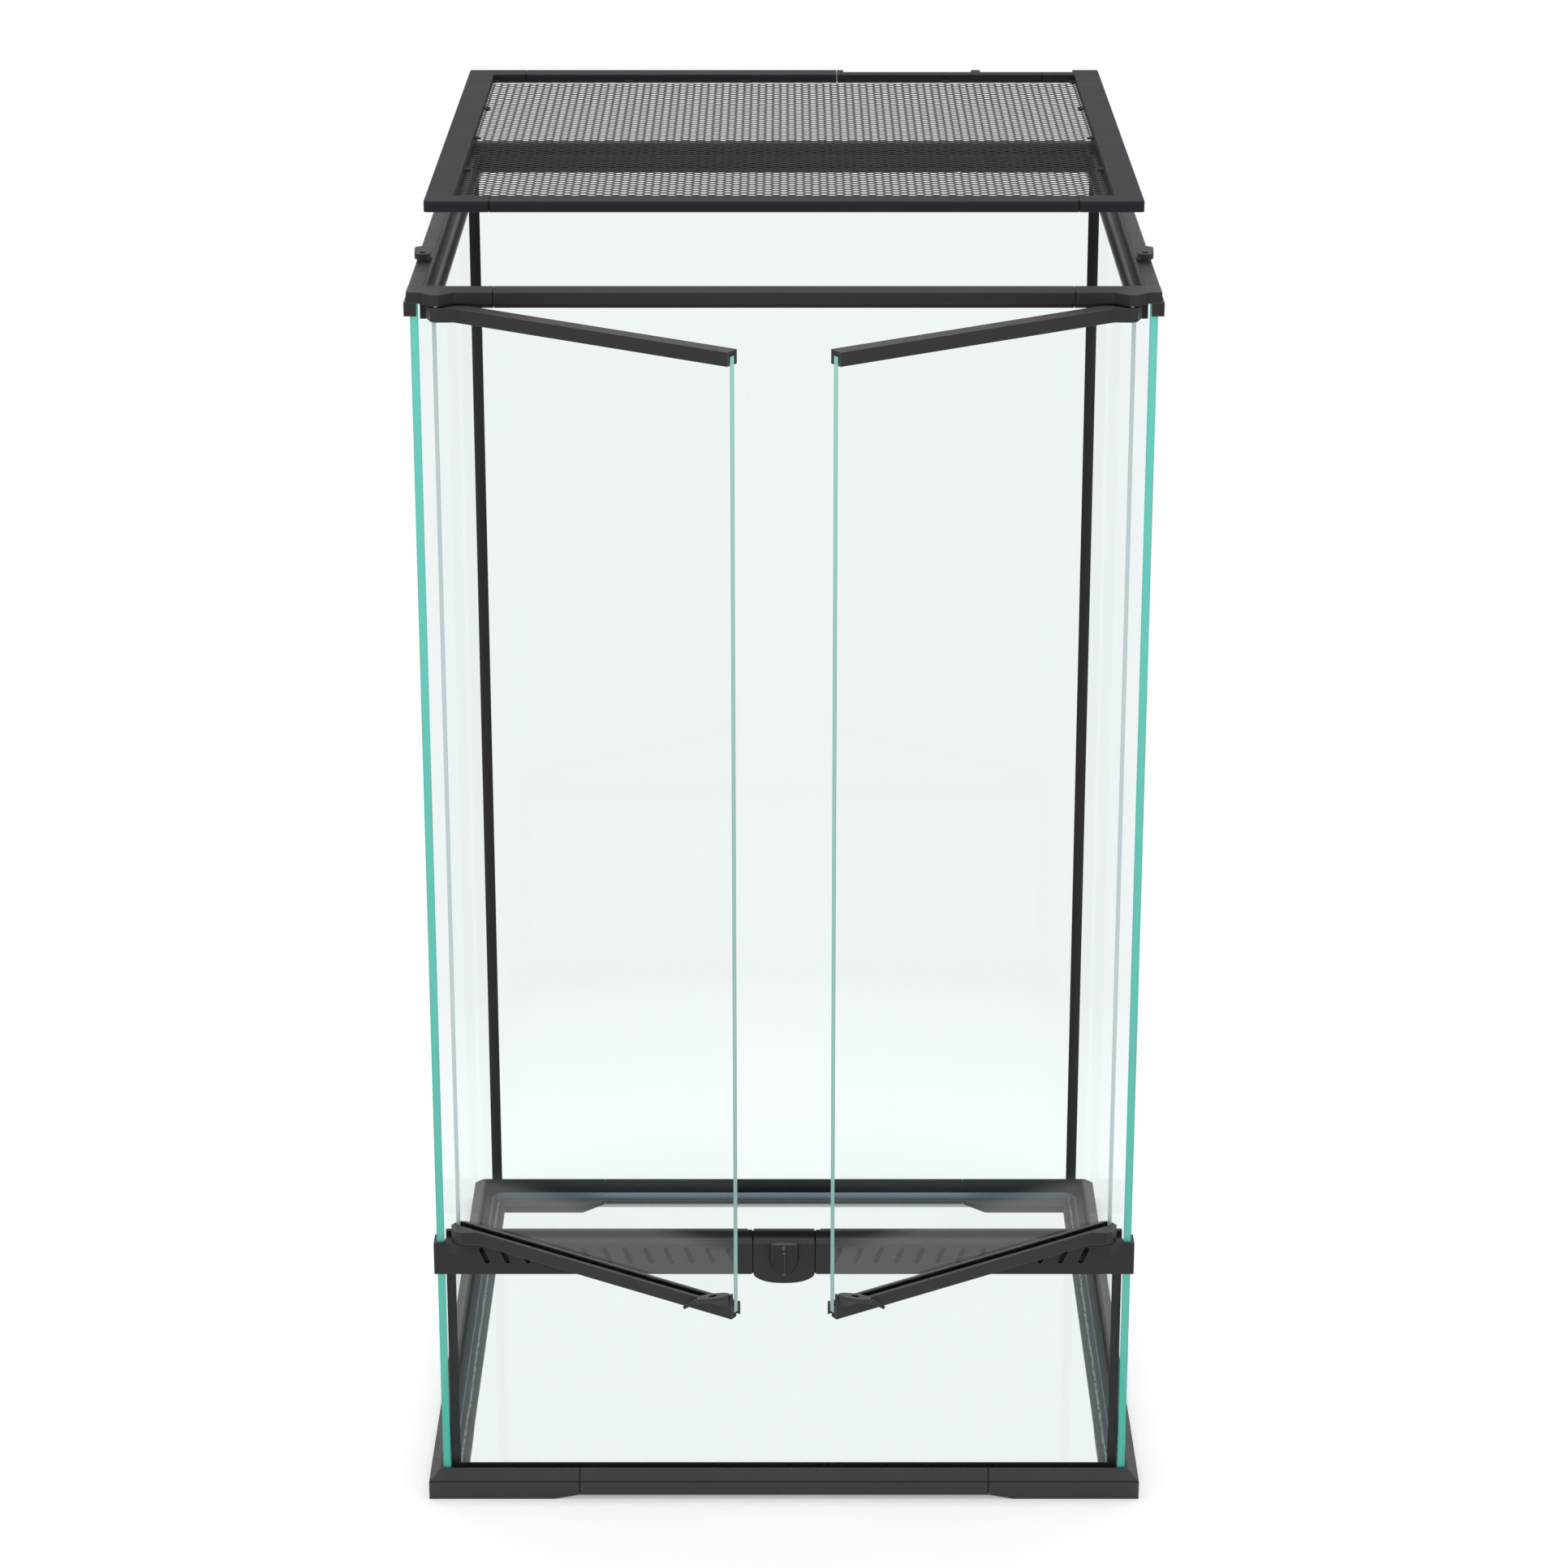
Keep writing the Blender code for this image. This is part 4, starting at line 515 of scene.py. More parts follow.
def pane(node, tint, thin, cut_ends, bright=BRIGHT_EDGE, dull=DULL_EDGE, mirror=0.015,
         film=0.0, turn=0.0, centre=(0.0, 0.0, 0.0), bed=0.0):
    """Glass for one pane. thin is the axis that the sheet is thin along.

    cut_ends lists the ends whose cut edge can be seen, each as axis and side; an optional
    third entry gives that end its own colour of painted glow. film is how much a pale film of
    painted glow covers near the bottom. turn and centre say how the pane stands. Below the height
    bed it is set in black glue, painted dark as the shade at its foot.
    """
    centre = Vector(centre)
    low, high = pane_limits(node, turn, centre)
    mat = Finish(node + "_clear")
    place = mat.turned_back(mat.place(), centre, turn)
    axes = mat.axes(place)
    share = (axes[AXIS_Z] - low.z) / (high.z - low.z)
    streak = mat.noise(place, EDGE_STREAKS, 3.0)
    middle = (low[thin] + high[thin]) / 2
    skin = (abs(axes[thin] - middle) / (high[thin] - middle)) ** SKIN_POWER
    # Painted glow: the edge's colour is brighter towards the top and darker along the skin of the
    # sheet.
    lit = (share * GLOW_RISE + streak * GLOW_STREAK - GLOW_STREAK / 2).clamp()
    rim = mat.blend(skin * SKIN_COVER, mat.blend(lit, dull, bright), [c * SKIN_SHADE for c in dull])
    edge = 0.0
    for axis, side, *own in cut_ends:
        if side < 0:
            end = axes[axis] < low[axis] + EDGE_DEPTH
        else:
            end = axes[axis] > high[axis] - EDGE_DEPTH
        edge = edge + end
        rim = mat.blend(end, rim, own[0]) if own else rim
    facing = mat.node("ShaderNodeLayerWeight", {}, {"Blend": 0.5}, output="Facing")
    shine = mirror + facing ** SHALLOW_POWER * SHALLOW_MIRROR
    # Painted glow: an emitting film just above the lower rail, where the mirror is also weakened.
    if film:
        veil = ((FILM_TOP - share) * FILM_FADE).clamp() * (axes[AXIS_Z] > film_floor)
        shine = shine * (1 - veil)
    wavy = mat.bump(WAVE_STRENGTH, WAVE_DEPTH, mat.noise(place, WAVE_SCALE, 1.0))
    clear = mat.node("ShaderNodeBsdfTransparent", {}, {"Color": (*tint, 1.0)})
    polish = {"Color": POLISH, "Roughness": POLISH_ROUGH, "Normal": wavy}
    face = mat.layer(shine, clear, mat.node("ShaderNodeBsdfAnisotropic", {}, polish))
    if film:
        glow_inputs = {"Color": WHITE, "Strength": FILM_LIGHT}
        face = mat.layer(veil * film, face, mat.node("ShaderNodeEmission", {}, glow_inputs))
    cut = mat.surface({"Base Color": rim, "Roughness": CUT_ROUGH + streak * CUT_STREAK})
    whole = mat.layer(edge.clamp() * EDGE_COVER, face, cut)
    # Painted shade: below the height bed the pane is a black surface, glue at its foot darkened as
    # shade.
    if bed:
        glue = mat.surface({"Base Color": (*SHADOW, 1.0), "Specular IOR Level": 0.2})
        whole = mat.layer(axes[AXIS_Z] < bed, whole, glue)
    return mat.finish(whole)


looks = {}
for word, side in (("left", -1), ("right", 1)):
    looks["side_glass_" + word] = {"tint": TINTED, "thin": AXIS_X, "mirror": 0.008,
                                   "cut_ends": [(AXIS_Y, -1), (AXIS_Z, 1)]}
    hinge = joints[f"door_{word}_hinge"]
    looks["door_glass_" + word] = {
        "tint": FAINT, "thin": AXIS_Y, "mirror": 0.006, "film": FILM_COVER,
        "cut_ends": [(AXIS_X, side, HINGE_EDGE), (AXIS_X, -side)],
        "bright": DOOR_BRIGHT, "dull": DOOR_DULL,
        "turn": side * math.radians(-hinge["range_deg"][0]),
        "centre": (*hinge["pos_m"][:2], 0.0)}
around = [(axis, side, BURIED_EDGE) for axis in (AXIS_X, AXIS_Y) for side in (-1, 1)]
looks["rear_glass"] = {"tint": TINTED, "thin": AXIS_Y, "mirror": 0.006,
                       "cut_ends": [(AXIS_Z, 1)]}
looks["front_lower_glass"] = {"tint": FAINT, "thin": AXIS_Y, "mirror": 0.010,
                              "cut_ends": [(AXIS_Z, 1, BURIED_EDGE)],
                              "bed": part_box("base_rail_front")[1].z + GLUE_OVER_LIP}
looks["floor_glass"] = {"tint": TINTED, "thin": AXIS_Z, "cut_ends": around}
for name, look in looks.items():
    nodes[name].material_slots[0].material = pane(name, **look)
print("glass finishes:", sum(m.name.endswith("_clear") for m in bpy.data.materials))

# %% [markdown]
# ## Silicone, steel and the black net
#
# The beads in the upright corners are black silicone, pulled down with a finger or a tool, so
# they carry fine upright streaks. The pins and the lock's cam are plain steel with a brushed,
# slightly cloudy shine, and the screws a darker one. The net is steel with a thin black coat,
# whose flanks are painted darker than its upward faces, as painted shade.

# %% Silicone, steel and coat
BEAD_STREAKS, BEAD_LUMPS = (1400.0, 1400.0, 6.0), 60.0
BRUSH_MARKS, STEEL_CLOUDS = (300.0, 300.0, 6000.0), 400.0
COAT_CLOUDS, COAT_FLECKS = 90.0, 2600.0


def silicone():
    mat = Finish("black_silicone")
    place = mat.place()
    streak = mat.noise(place, BEAD_STREAKS, 3.0)
    lump = mat.noise(place, BEAD_LUMPS, 2.0)
    color = mat.blend(streak, (0.004, 0.004, 0.004), (0.016, 0.016, 0.017))
    bump = mat.bump(0.35, 0.0004, streak + lump)
    return mat.finish(mat.surface({"Base Color": color, "Roughness": 0.46 + streak * 0.2,
                                   "Normal": bump, "Specular IOR Level": 0.12}))


def steel(name, shade):
    mat = Finish(name)
    place = mat.place()
    brushed = mat.noise(place, BRUSH_MARKS, 2.0)
    cloud = mat.noise(place, STEEL_CLOUDS, 3.0)
    color = mat.blend(cloud, [c * 0.75 for c in shade], shade)
    bump = mat.bump(0.15, 0.0001, brushed)
    return mat.finish(mat.surface({"Base Color": color, "Roughness": 0.28 + brushed * 0.2,
                                   "Metallic": 1.0, "Normal": bump}))


def coated_net():
    mat = Finish("black_coated_net")
    place = mat.place()
    cloud = mat.noise(place, COAT_CLOUDS, 2.0)
    fleck = mat.noise(place, COAT_FLECKS, 2.0)
    coat = mat.blend(cloud, (0.009, 0.009, 0.010), (0.015, 0.015, 0.016))
    # Painted shade: the strands' flanks are darker than their upward faces.
    color = mat.blend(mat.upward().clamp(), (0.005, 0.005, 0.006), coat)
    bump = mat.bump(0.2, 0.0001, fleck)
    return mat.finish(mat.surface({"Base Color": color, "Roughness": 0.50 + fleck * 0.15,
                                   "Normal": bump, "Specular IOR Level": 0.15}))


bead_black = silicone()
plain_steel = steel("plain_steel", (0.62, 0.62, 0.63))
screw_steel = steel("dark_screw_steel", (0.20, 0.20, 0.21))
net_coat = coated_net()
print("finishes in all:", len(bpy.data.materials))


# %% Give each solid part its finish
def finish_for(name):
    if "seal" in name:
        return bead_black
    if "pin" in name or name == "lock_cam":
        return plain_steel
    if name.startswith("latch_screw"):
        return screw_steel
    if name == "lid_net":
        return net_coat
    if name == "lock_knob":
        return knob_black
    if name.startswith("base_"):
        return base_black
    if name.startswith(("vent_bar", "lock_housing")):
        return bar_black
    if name.startswith("door_"):
        return door_black
    if name.startswith(("lid_rail", "lid_corner", "lid_cable")):
        return lid_black
    return frame_black


for name, part in nodes.items():
    if "glass" not in name:
        part.material_slots[0].material = finish_for(name)
print("finished", len(nodes), "solid parts")

# %% [markdown]
# ## The expanded net
#
# Expanded metal is a sheet that was slit and then pulled, so that every slit opened into a
# diamond. It can be seen as rows of zigzag strands: each row is the one before it, shifted by half
# a period, and neighbours meet at their peaks. Geometry Nodes suit that well. One strand is a
# line of points moved up and down in turn and given a flat section, and two such strands, of
# opposite phase, are repeated across the depth of the lid.

# %% Tree helper
class Tree:
    """A Geometry Nodes tree under construction, with named inputs."""

    def __init__(self, name, inputs):
        self.group = bpy.data.node_groups.new(name, "GeometryNodeTree")
        kinds = {float: "NodeSocketFloat", int: "NodeSocketInt", None: "NodeSocketMaterial"}
        sockets = self.group.interface
        for label, kind in inputs.items():
            sockets.new_socket(label, in_out="INPUT", socket_type=kinds[kind])
        sockets.new_socket("Geometry", in_out="OUTPUT", socket_type="NodeSocketGeometry")
        self.source = self.group.nodes.new("NodeGroupInput")
        self.sink = self.group.nodes.new("NodeGroupOutput")

    def given(self, label):
        return self.source.outputs[label]

    def node(self, kind, settings=None, inputs=None, output=0):
        """Add a node, set its settings and sockets, and return one output."""
        made = self.group.nodes.new(kind)
        for key, value in (settings or {}).items():
            setattr(made, key, value)
        for key, value in (inputs or {}).items():
            for one in value if isinstance(value, list) else [value]:
                if isinstance(one, bpy.types.NodeSocket):
                    self.group.links.new(one, made.inputs[key])
                else:
                    made.inputs[key].default_value = one
        return made.outputs[output]

    def maths(self, operation, *values):
        return self.node("ShaderNodeMath", {"operation": operation}, dict(enumerate(values)))

    def vector(self, x=0.0, y=0.0, z=0.0):
        return self.node("ShaderNodeCombineXYZ", inputs={0: x, 1: y, 2: z})

    def copies(self, points, shape):
        inputs = {"Points": points, "Instance": shape}
        return self.node("GeometryNodeInstanceOnPoints", inputs=inputs)

    def row(self, count, start, offset):
        """Points in a row."""
        inputs = {"Count": count, "Start Location": start, "Offset": offset}
        return self.node("GeometryNodeMeshLine", inputs=inputs)

    def close(self, geometry, material):
        """Make the copies real, give them their material and end the tree."""
        real = self.node("GeometryNodeRealizeInstances", inputs={0: geometry})
        done = self.node("GeometryNodeSetMaterial", inputs={"Geometry": real, "Material": material})
        self.group.links.new(done, self.sink.inputs[0])
        return self.group


def made_by(tree, name, values):
    """Run a tree on an empty mesh and keep the result as a plain mesh object."""
    seed = bpy.data.objects.new(name + "_seed", bpy.data.meshes.new(name + "_seed"))
    bpy.context.collection.objects.link(seed)
    modifier = seed.modifiers.new(name, "NODES")
    modifier.node_group = tree
    for item in tree.interface.items_tree:
        if item.item_type == "SOCKET" and item.in_out == "INPUT":
            modifier[item.identifier] = values[item.name]
    shown = seed.evaluated_get(bpy.context.evaluated_depsgraph_get())
    mesh = bpy.data.meshes.new_from_object(shown)
    bpy.data.objects.remove(seed)
    piece = bpy.data.objects.new(name, mesh)
    bpy.context.collection.objects.link(piece)
    return piece


def describe(piece):
    sizes = [round(length, 4) for length in piece.dimensions]
    print(piece.name, len(piece.data.polygons), "faces, size", sizes)


print("a Tree can make:", ", ".join(name for name in vars(Tree) if name[0] != "_"))

# %% The net
LONG_WAY = 0.0098
SHORT_WAY = 0.0067
STRAND = 0.00115
THICKNESS = 0.00032
PHASE_GAP = 0.00001


def net_tree():
    labels = {"Left": float, "Front": float, "Bottom": float, "Quarter long way": float,
              "Half short way": float, "Steps": int, "Rows": int, "Strand width": float,
              "Strand thickness": float, "Coat": None}
    tree = Tree("expanded_net", labels)
    step = tree.given("Quarter long way")
    rise = tree.given("Half short way")
    width = tree.given("Strand width")
    section = tree.node("GeometryNodeCurvePrimitiveQuadrilateral", {"mode": "RECTANGLE"},
                        {0: width, 1: tree.given("Strand thickness")})
    quarter = tree.maths("MODULO", tree.node("GeometryNodeInputIndex"), 4.0)
    upper = tree.maths("GREATER_THAN", quarter, 1.5)
    reach = tree.maths("SUBTRACT", rise, width)
    swing = tree.maths("MULTIPLY", tree.maths("SUBTRACT", upper, 0.5), reach)
    strands = []
    for phase in (1.0, -1.0):
        start = tree.vector(tree.given("Left"), tree.given("Front"), tree.given("Bottom"))
        line = tree.row(tree.given("Steps"), start, tree.vector(x=step))
        offset = tree.vector(y=tree.maths("MULTIPLY", swing, phase))
        zigzag = tree.node("GeometryNodeSetPosition", inputs={"Geometry": line, "Offset": offset})
        curve = tree.node("GeometryNodeMeshToCurve", inputs={0: zigzag})
        level = tree.node("GeometryNodeSetCurveNormal", {"mode": "Z_UP"}, {"Curve": curve})
        sweep = {0: level, 1: section, "Fill Caps": True}
        strand = tree.node("GeometryNodeCurveToMesh", inputs=sweep)
        first = tree.maths("MULTIPLY", rise, (1.0 - phase) * 0.5)
        apart = tree.vector(y=tree.maths("MULTIPLY", rise, 2.0))
        spots = tree.row(tree.given("Rows"), tree.vector(y=first, z=phase * PHASE_GAP), apart)
        strands.append(tree.copies(spots, strand))
    both = tree.node("GeometryNodeJoinGeometry", inputs={0: strands})
    return tree.close(both, tree.given("Coat"))


low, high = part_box("lid_net")
steps = int((high.x - low.x - STRAND) / (LONG_WAY / 4))
rows = int((high.y - low.y - SHORT_WAY / 2 - STRAND) / SHORT_WAY)
left = (low.x + high.x - steps * LONG_WAY / 4) / 2
front = (low.y + high.y - (rows - 0.5) * SHORT_WAY) / 2
middle = (low.z + high.z) / 2
sizes = {"Left": left, "Front": front, "Bottom": middle, "Quarter long way": LONG_WAY / 4,
         "Half short way": SHORT_WAY / 2, "Steps": steps + 1, "Rows": rows,
         "Strand width": STRAND, "Strand thickness": THICKNESS, "Coat": net_coat}
net = made_by(net_tree(), "fine_net", sizes)
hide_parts("lid_net")
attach(net, "lid")
describe(net)

# %% [markdown]
# ## The latch screws
#
# Each latch turns on a small pan-head screw sunk in a round recess. The head is a low dome with a
# cross recess. It is made once: a profile turned round its axis, with a cross cut out. The tree
# then puts one on each latch.

# %% One screw
HEAD_HEIGHT = 0.0013
SHANK_RADIUS = 0.0010
SCREW_SIDES = 32
DOME_START = 0.35
DOME_ANGLES = (0.35, 0.7, 1.05, 1.4)
CROSS_LONG, CROSS_WIDE, CROSS_DEEP, CROSS_LIFT = 1.15, 0.24, 1.3, 1.05


def screw_mesh(head, rise, shank, length):
    """Pan head with its flat underside at z = 0, a cross recess and a plain shank below."""
    bm = bmesh.new()
    dome = [(head * math.cos(angle), rise * (DOME_START + (1 - DOME_START) * math.sin(angle)))
            for angle in DOME_ANGLES]
    profile = [(0.0, -length), (shank, -length), (shank, 0.0), (head, 0.0),
               (head, rise * DOME_START), *dome, (0.0, rise)]
    verts = [bm.verts.new((x, 0.0, z)) for x, z in profile]
    edges = [bm.edges.new(pair) for pair in zip(verts, verts[1:])]
    bmesh.ops.spin(bm, geom=verts + edges, axis=(0, 0, 1), cent=(0, 0, 0), steps=SCREW_SIDES,
                   angle=2 * math.pi)
    bmesh.ops.remove_doubles(bm, verts=bm.verts, dist=1e-6)
    bmesh.ops.recalc_face_normals(bm, faces=bm.faces)
    body = bpy.data.meshes.new("screw")
    bm.to_mesh(body)
    bm.free()
    cutter = bmesh.new()
    size = Matrix.Diagonal((head * CROSS_LONG, head * CROSS_WIDE, rise * CROSS_DEEP, 1.0))
    lift = Matrix.Translation((0.0, 0.0, rise * CROSS_LIFT))
    for turn in (0.0, math.pi / 2):
        arm = Matrix.Rotation(turn, 4, "Z") @ lift @ size
        bmesh.ops.create_cube(cutter, size=1.0, matrix=arm)
    cross = bpy.data.meshes.new("cross")
    cutter.to_mesh(cross)
    cutter.free()
    pair = [bpy.data.objects.new(mesh.name, mesh) for mesh in (body, cross)]
    for one in pair:
        bpy.context.collection.objects.link(one)
    notch = pair[0].modifiers.new("cross", "BOOLEAN")
    notch.object = pair[1]
    notch.use_self = True
    shown = pair[0].evaluated_get(bpy.context.evaluated_depsgraph_get())
    result = bpy.data.meshes.new_from_object(shown)
    for one in pair:
        bpy.data.objects.remove(one)
    return result


low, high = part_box("latch_screw_right")
head_radius = (high.x - low.x) / 2
screw = screw_mesh(head_radius, HEAD_HEIGHT, SHANK_RADIUS, high.z - low.z - HEAD_HEIGHT)
print("one screw has", len(screw.polygons), "faces")


# %% A screw on each latch
def screws_tree(master):
    tree = Tree("latch_screws", {"Half spread": float, "Y": float, "Z": float, "Steel": None})
    left = tree.maths("MULTIPLY", tree.given("Half spread"), -1.0)
    spread = tree.maths("MULTIPLY", tree.given("Half spread"), 2.0)
    start = tree.vector(left, tree.given("Y"), tree.given("Z"))
    points = tree.row(2, start, tree.vector(x=spread))
    shape = tree.node("GeometryNodeObjectInfo", inputs={"Object": master}, output="Geometry")
    return tree.close(tree.copies(points, shape), tree.given("Steel"))


master = bpy.data.objects.new("screw_master", screw)
where = {"Half spread": (low.x + high.x) / 2, "Y": (low.y + high.y) / 2,
         "Z": high.z - HEAD_HEIGHT, "Steel": screw_steel}
screws = made_by(screws_tree(master), "latch_screws", where)
bpy.data.objects.remove(master)
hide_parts("latch_screw_left")
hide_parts("latch_screw_right")
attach(screws, "cabinet")
describe(screws)

# %% [markdown]
# ## The lock's thumb turn
#
# The thumb turn is a small shield. Its front leans, so that it is thickest at the top, and a blade
# runs down its middle to push against. The left side is scooped out for the fingertip and rises
# smoothly to the blade, while the right side drops off sharply. Such a face is a height for
# every place on a plan. A grid of points is squeezed into the shield's outline, each point gets
# its height from a small function, and the rim is then pulled back to close the body. Each point
# also stores painted light and shade, which the finish reads: a painted highlight on the upper
# edge, the pad, the dot and the ends of the blade, and painted shade in the scoop, the creases,
# the gap and along the outline.

# %% Height of the thumb turn's face
KNOB_THIN = 0.0009
KNOB_THICK = 0.0031
KNOB_CORNER = 0.0020
KNOB_CURVE = 1.48
KNOB_EDGE = 0.0005
BLADE_HALF = 0.0010
BLADE_TOP = 0.0075
BLADE_HEIGHT = 0.0013
BLADE_EDGE = 0.0004
PAD_FOOT = 0.0089
PAD_HEIGHT = 0.0006
END_ROOM = 0.0004
SLACK = 0.00002
SCOOP_DEPTH = 0.0009
SCOOP_X, SCOOP_WIDE = -0.0040, 0.0024
SCOOP_Z, SCOOP_TALL = -0.001, 0.0105
SLOPE_WIDTH, SLOPE_SHARE = 0.0032, 0.6
SLOPE_FOOT, SLOPE_HEAD = 0.0012, 0.0010
LEAST_HEIGHT = 0.0002

knob_low, knob_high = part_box("lock_knob")
axle = Vector(joints["lock_turn"]["pos_m"])
knob_half = (knob_high.x - knob_low.x) / 2
knob_tall = (knob_high.z - knob_low.z) / 2


def shield_half(z):
    """Half the width of the shield at height z over the axle."""
    if z < 0.0:
        return knob_half * math.sqrt(max(1.0 - (-z / knob_tall) ** KNOB_CURVE, 0.0))
    over = max(z - (knob_tall - KNOB_CORNER), 0.0)
    return knob_half - KNOB_CORNER + math.sqrt(max(KNOB_CORNER ** 2 - over ** 2, 0.0))


def rounded_in(distance, radius):
    """How far a rounded edge has dropped at this distance from the side."""
    short = max(radius - max(distance, 0.0), 0.0)
    return radius - math.sqrt(max(radius ** 2 - short ** 2, 0.0))


def blade_height(x, z):
    """Blade with round ends, and the short pad over it."""
    blade = (-knob_tall + END_ROOM, BLADE_TOP, BLADE_HEIGHT)
    pad = (PAD_FOOT, knob_tall - END_ROOM, PAD_HEIGHT)
    for low, high, tall in (blade, pad):
        over = max(z - (high - BLADE_HALF), (low + BLADE_HALF) - z, 0.0)
        away = BLADE_HALF - math.hypot(x, over)
        if away > -SLACK:
            return max(tall - rounded_in(away, BLADE_EDGE), 0.0)
    return 0.0


def knob_height(x, z):
    """Height of the leaning face with its scoop, its slope up to the blade and its edge."""
    share = (z + knob_tall) / (2 * knob_tall)
    height = KNOB_THIN + (KNOB_THICK - KNOB_THIN) * share
    across = math.exp(-((x - SCOOP_X) / SCOOP_WIDE) ** 2)
    height -= across * max(0.0, 1.0 - ((z - SCOOP_Z) / SCOOP_TALL) ** 2) * SCOOP_DEPTH
    if -SLOPE_WIDTH < x < 0.0 and SLOPE_FOOT - knob_tall < z < BLADE_TOP - SLOPE_HEAD:
        height += BLADE_HEIGHT * ((x + SLOPE_WIDTH) / SLOPE_WIDTH) ** 2 * SLOPE_SHARE
    height -= rounded_in(min(shield_half(z) - abs(x), knob_tall - z), KNOB_EDGE)
    return max(height, LEAST_HEIGHT)


print("thumb turn", round(2000 * knob_half, 1), "by", round(2000 * knob_tall, 1), "mm")


# %% Stored painted light and shade of the thumb turn
MM = 1000.0


def knob_light_and_shade(x, z):
    """Above 0 for a painted highlight, below 0 for painted shade in the creases; lengths in mm."""
    x, z, tall = x * MM, z * MM, knob_tall * MM
    inset = shield_half(z / MM) * MM - abs(x)
    scoop = -0.18 * math.exp(-((x + 3.8) / 1.9) ** 2 - (z / 6.5) ** 4)
    upper_edge = z > tall - 0.9 and inset > 0.9
    crease = 1.0 < x < 1.6 and abs(z) < tall - 1.6
    blade = 0.1 < x < 0.8 and 2.0 - tall < z < 4.0
    pad = abs(x) < 0.95 and 6.9 < z < tall - 1.6
    gap = abs(x) < 1.0 and 5.9 < z <= 6.9
    dot = math.hypot(x, z - 5.2) < 0.75
    foot = z < 1.9 - tall and 0.45 < math.hypot(x, z + tall - 1.7) < 1.2
    outline = inset < 0.60 and z < tall - 1.0
    marks = ((outline, -0.95), (foot, 0.80), (dot, 0.95), (gap, -0.85), (pad, 0.70),
             (blade, 0.22), (crease, -0.90), (upper_edge, 0.50))
    return next((tone for there, tone in marks if there), scoop)


print("shade on the dot", knob_light_and_shade(0.0, 0.0052), "and in the scoop", knob_light_and_shade(-0.0038, 0.0))


# %% The thumb turn
GRID_ACROSS = 0.00042
GRID_AT_BLADE = 0.00012
GRID_UP = 0.00022
BLADE_ZONE = 0.0012
SHARP_SIDE = 0.0009
BACK_Y = -0.0003
SHAFT_RADIUS = 0.0020
SHAFT_LAP = 0.0002
SMOOTH_BELOW = math.radians(35)


def steps_between(low, high, step):
    count = max(2, round((high - low) / step))
    return [low + (high - low) * i / count for i in range(count + 1)]


def knob_mesh():
    """Shield and blade as one closed shell with a shaft behind."""
    across = sorted(set(steps_between(-knob_half, -BLADE_ZONE, GRID_ACROSS)
                        + steps_between(-BLADE_ZONE, BLADE_ZONE, GRID_AT_BLADE)
                        + steps_between(BLADE_ZONE, knob_half, GRID_ACROSS)))
    bm = bmesh.new()
    tone = bm.verts.layers.float.new("tone")
    rows = []
    for z in steps_between(-knob_tall + SLACK, knob_tall, GRID_UP):
        half = shield_half(z)
        row = []
        for x in across:
            x = max(-half, min(half, x))
            height = knob_height(x, z)
            if abs(x) < BLADE_HALF:
                height = max(height, knob_height(SHARP_SIDE, z) + blade_height(x, z))
            vert = bm.verts.new((x, BACK_Y - height, z))
            vert[tone] = knob_light_and_shade(x, z)
            row.append(vert)
        rows.append(row)
    for low_row, high_row in zip(rows, rows[1:]):
        for corners in zip(low_row, low_row[1:], high_row[1:], high_row):
            bm.faces.new(corners)
    bmesh.ops.remove_doubles(bm, verts=bm.verts, dist=SLACK)
    rim = [edge for edge in bm.edges if edge.is_boundary]
    wall = bmesh.ops.extrude_edge_only(bm, edges=rim)["geom"]
    for vert in [v for v in wall if isinstance(v, bmesh.types.BMVert)]:
        vert.co.y = BACK_Y
        # The side walls get full painted shade.
        vert[tone] = -1.0
    bmesh.ops.contextual_create(bm, geom=[edge for edge in bm.edges if edge.is_boundary])
    length = knob_high.y - axle.y
    middle = Matrix.Translation((0.0, length / 2 - SHAFT_LAP, 0.0))
    bmesh.ops.create_cone(bm, cap_ends=True, segments=24, radius1=SHAFT_RADIUS,
                          radius2=SHAFT_RADIUS, depth=length + SHAFT_LAP,
                          matrix=middle @ Matrix.Rotation(math.pi / 2, 4, "X"))
    bmesh.ops.recalc_face_normals(bm, faces=bm.faces)
    bmesh.ops.translate(bm, vec=axle, verts=bm.verts)
    mesh = bpy.data.meshes.new("thumb_turn")
    bm.to_mesh(mesh)
    bm.free()
    mesh.polygons.foreach_set("use_smooth", [True] * len(mesh.polygons))
    mesh.set_sharp_from_angle(angle=SMOOTH_BELOW)
    return mesh


knob = bpy.data.objects.new("thumb_turn", knob_mesh())
bpy.context.collection.objects.link(knob)
knob.data.materials.append(knob_black)
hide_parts("lock_knob")
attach(knob, "lock")
describe(knob)

# %% [markdown]
# ## Floor and light
#
# The object stands on a plain white floor in an even, soft light. Near the object the floor is a
# normal matt surface and takes its shadow. Further away, and under the glass, it is flat white,
# so that no horizon shows. A large lamp overhead gives the top faces their sheen, a weaker one
# lights the front, and the world fills in.

# %% Floor
FLOOR_SIZE = 160.0
FLOOR_DROP = 0.0002
FLAT_FROM = 0.40
FLAT_RATE = 3.0
UNDER_GLASS = 0.217
PAPER = (0.90, 0.90, 0.90, 1.0)
LIFT = 0.30


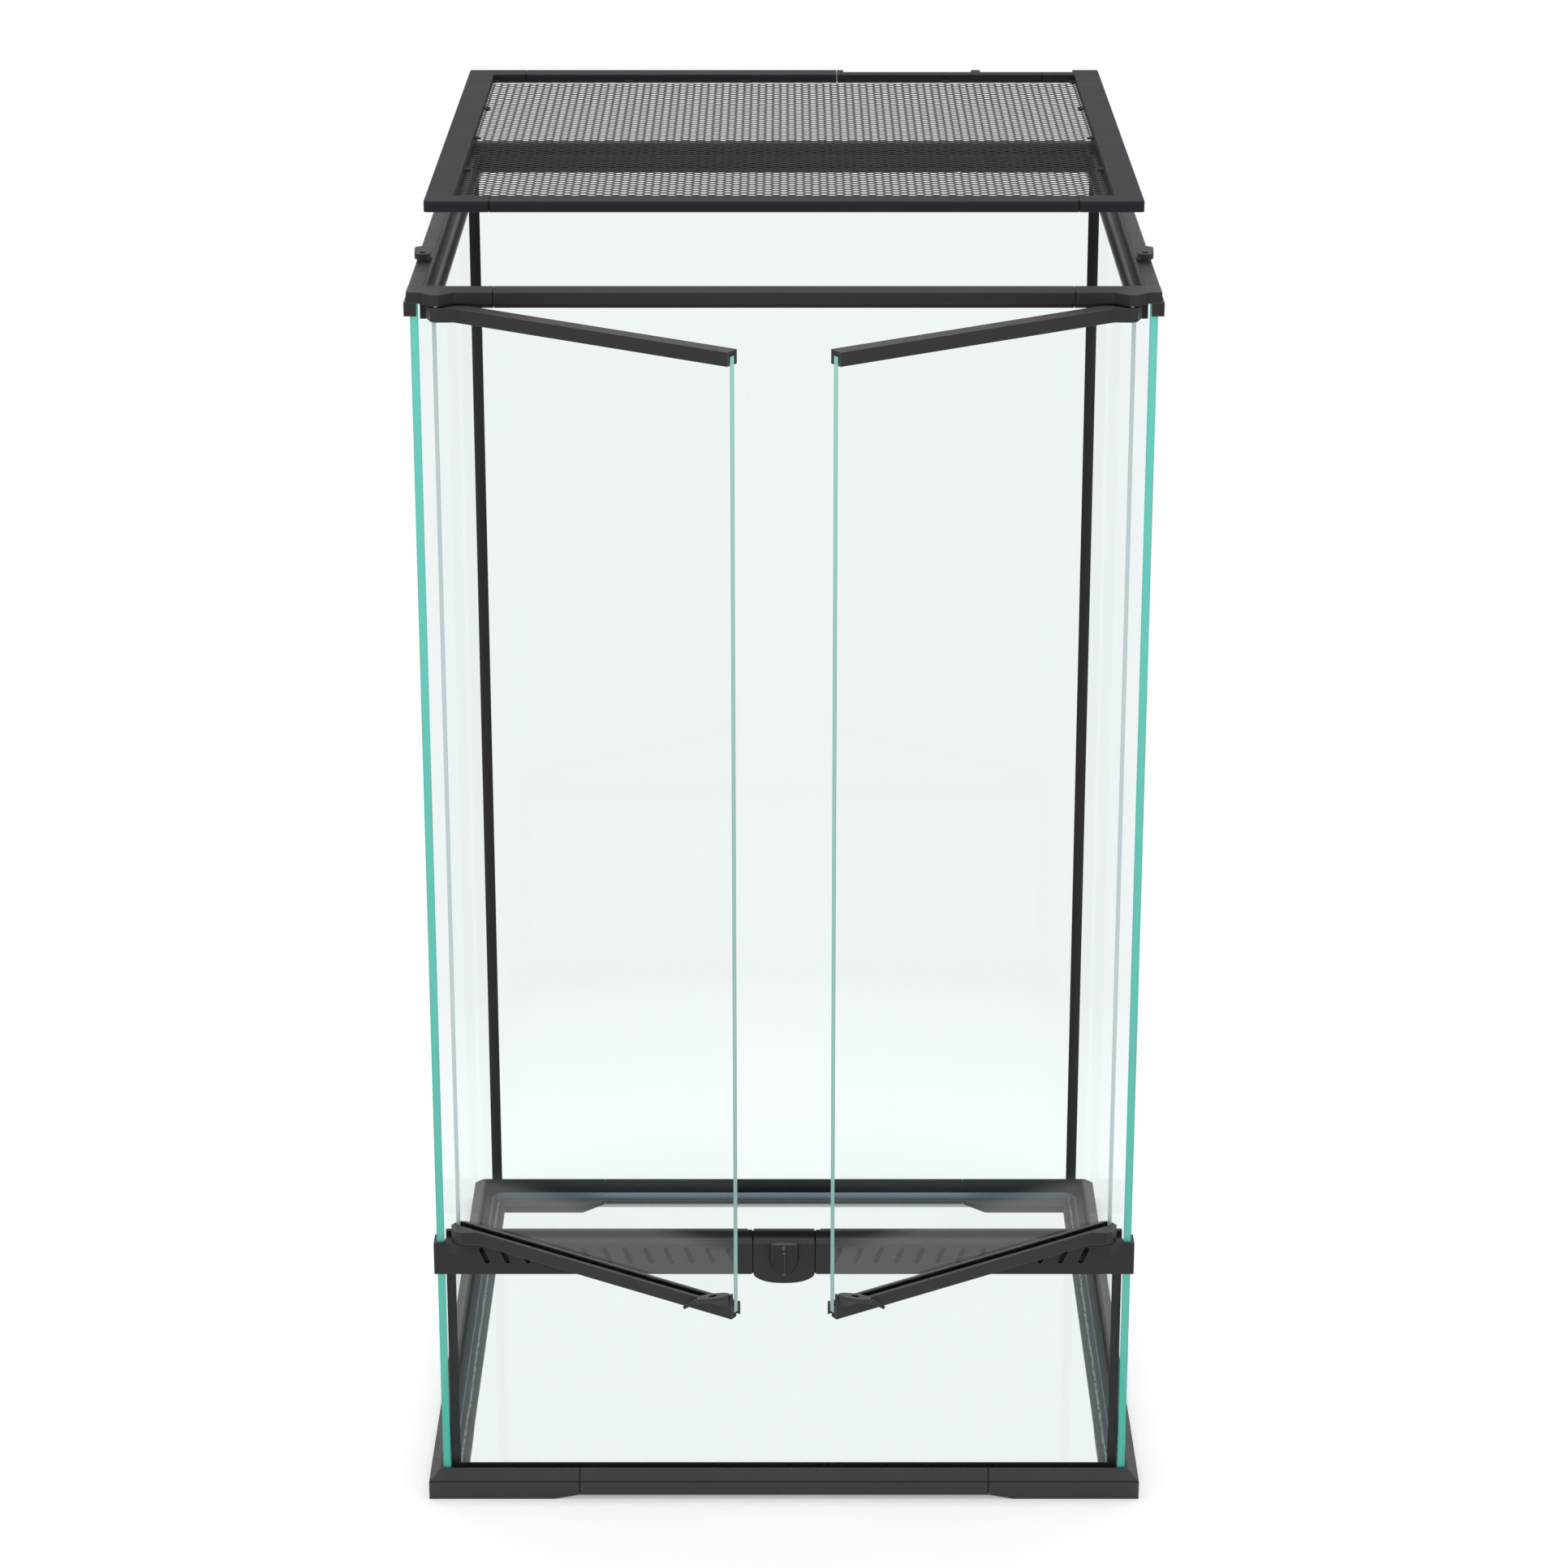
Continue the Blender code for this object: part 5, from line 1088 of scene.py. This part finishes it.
def white_floor():
    mat = Finish("white_floor")
    x, y, _ = mat.axes(mat.place())
    away = (x * x + y * y).maths("SQRT")
    under = (abs(x) < UNDER_GLASS) * (abs(y - case_y) < UNDER_GLASS)
    flatness = (((away - FLAT_FROM) * FLAT_RATE).clamp() + under).clamp()
    paper = mat.node("ShaderNodeBsdfDiffuse", {}, {"Color": PAPER})
    lift = mat.node("ShaderNodeEmission", {}, {"Color": WHITE, "Strength": LIFT})
    near = mat.node("ShaderNodeAddShader", {}, {0: paper, 1: lift})
    flat = mat.node("ShaderNodeEmission", {}, {"Color": WHITE, "Strength": 1.0})
    return mat.finish(mat.layer(flatness, near, flat))


bpy.ops.mesh.primitive_plane_add(size=FLOOR_SIZE, location=(0.0, 0.0, -FLOOR_DROP))
floor = bpy.context.object
floor.name = "floor"
floor.data.materials.append(white_floor())
print("floor", FLOOR_SIZE, "m wide, flat white from", FLAT_FROM, "m out")

# %% Light
LAMP_TARGET = (0.0, 0.0, 0.4)
WORLD_ON_OBJECT = 0.62
WORLD_SEEN = 1.0


def lamp(name, spot, size, power):
    light = bpy.data.lights.new(name, "AREA")
    light.shape = "SQUARE"
    light.size = size
    light.energy = power
    holder = bpy.data.objects.new(name, light)
    bpy.context.collection.objects.link(holder)
    holder.location = spot
    toward = Vector(LAMP_TARGET) - Vector(spot)
    holder.rotation_euler = toward.to_track_quat("-Z", "Y").to_euler()
    holder.visible_camera = False
    print("lamp", name, power, "W")


lamp("overhead", (0.0, 0.4, 2.9), 2.4, 34.0)
lamp("front_fill", (0.0, -3.2, 1.6), 2.0, 10.0)
world = bpy.data.worlds.new("soft_room")
bpy.context.scene.world = world
world.use_nodes = True
tree = world.node_tree
path = tree.nodes.new("ShaderNodeLightPath")
seen = path.outputs["Is Camera Ray"]
for label in ("Is Glossy Ray", "Is Transmission Ray"):
    join = tree.nodes.new("ShaderNodeMath")
    join.operation = "MAXIMUM"
    tree.links.new(seen, join.inputs[0])
    tree.links.new(path.outputs[label], join.inputs[1])
    seen = join.outputs[0]
level = tree.nodes.new("ShaderNodeMapRange")
level.inputs["To Min"].default_value = WORLD_ON_OBJECT
level.inputs["To Max"].default_value = WORLD_SEEN
tree.links.new(seen, level.inputs["Value"])
sky = tree.nodes["Background"]
tree.links.new(level.outputs["Result"], sky.inputs["Strength"])
sky.inputs["Color"].default_value = WHITE
bpy.context.scene.view_settings.view_transform = "Standard"
print("world strength", WORLD_ON_OBJECT, "on the object,", WORLD_SEEN, "as seen")

# %% The pieces made here
print("pieces made here:", [piece.name for piece in (net, screws, knob)])
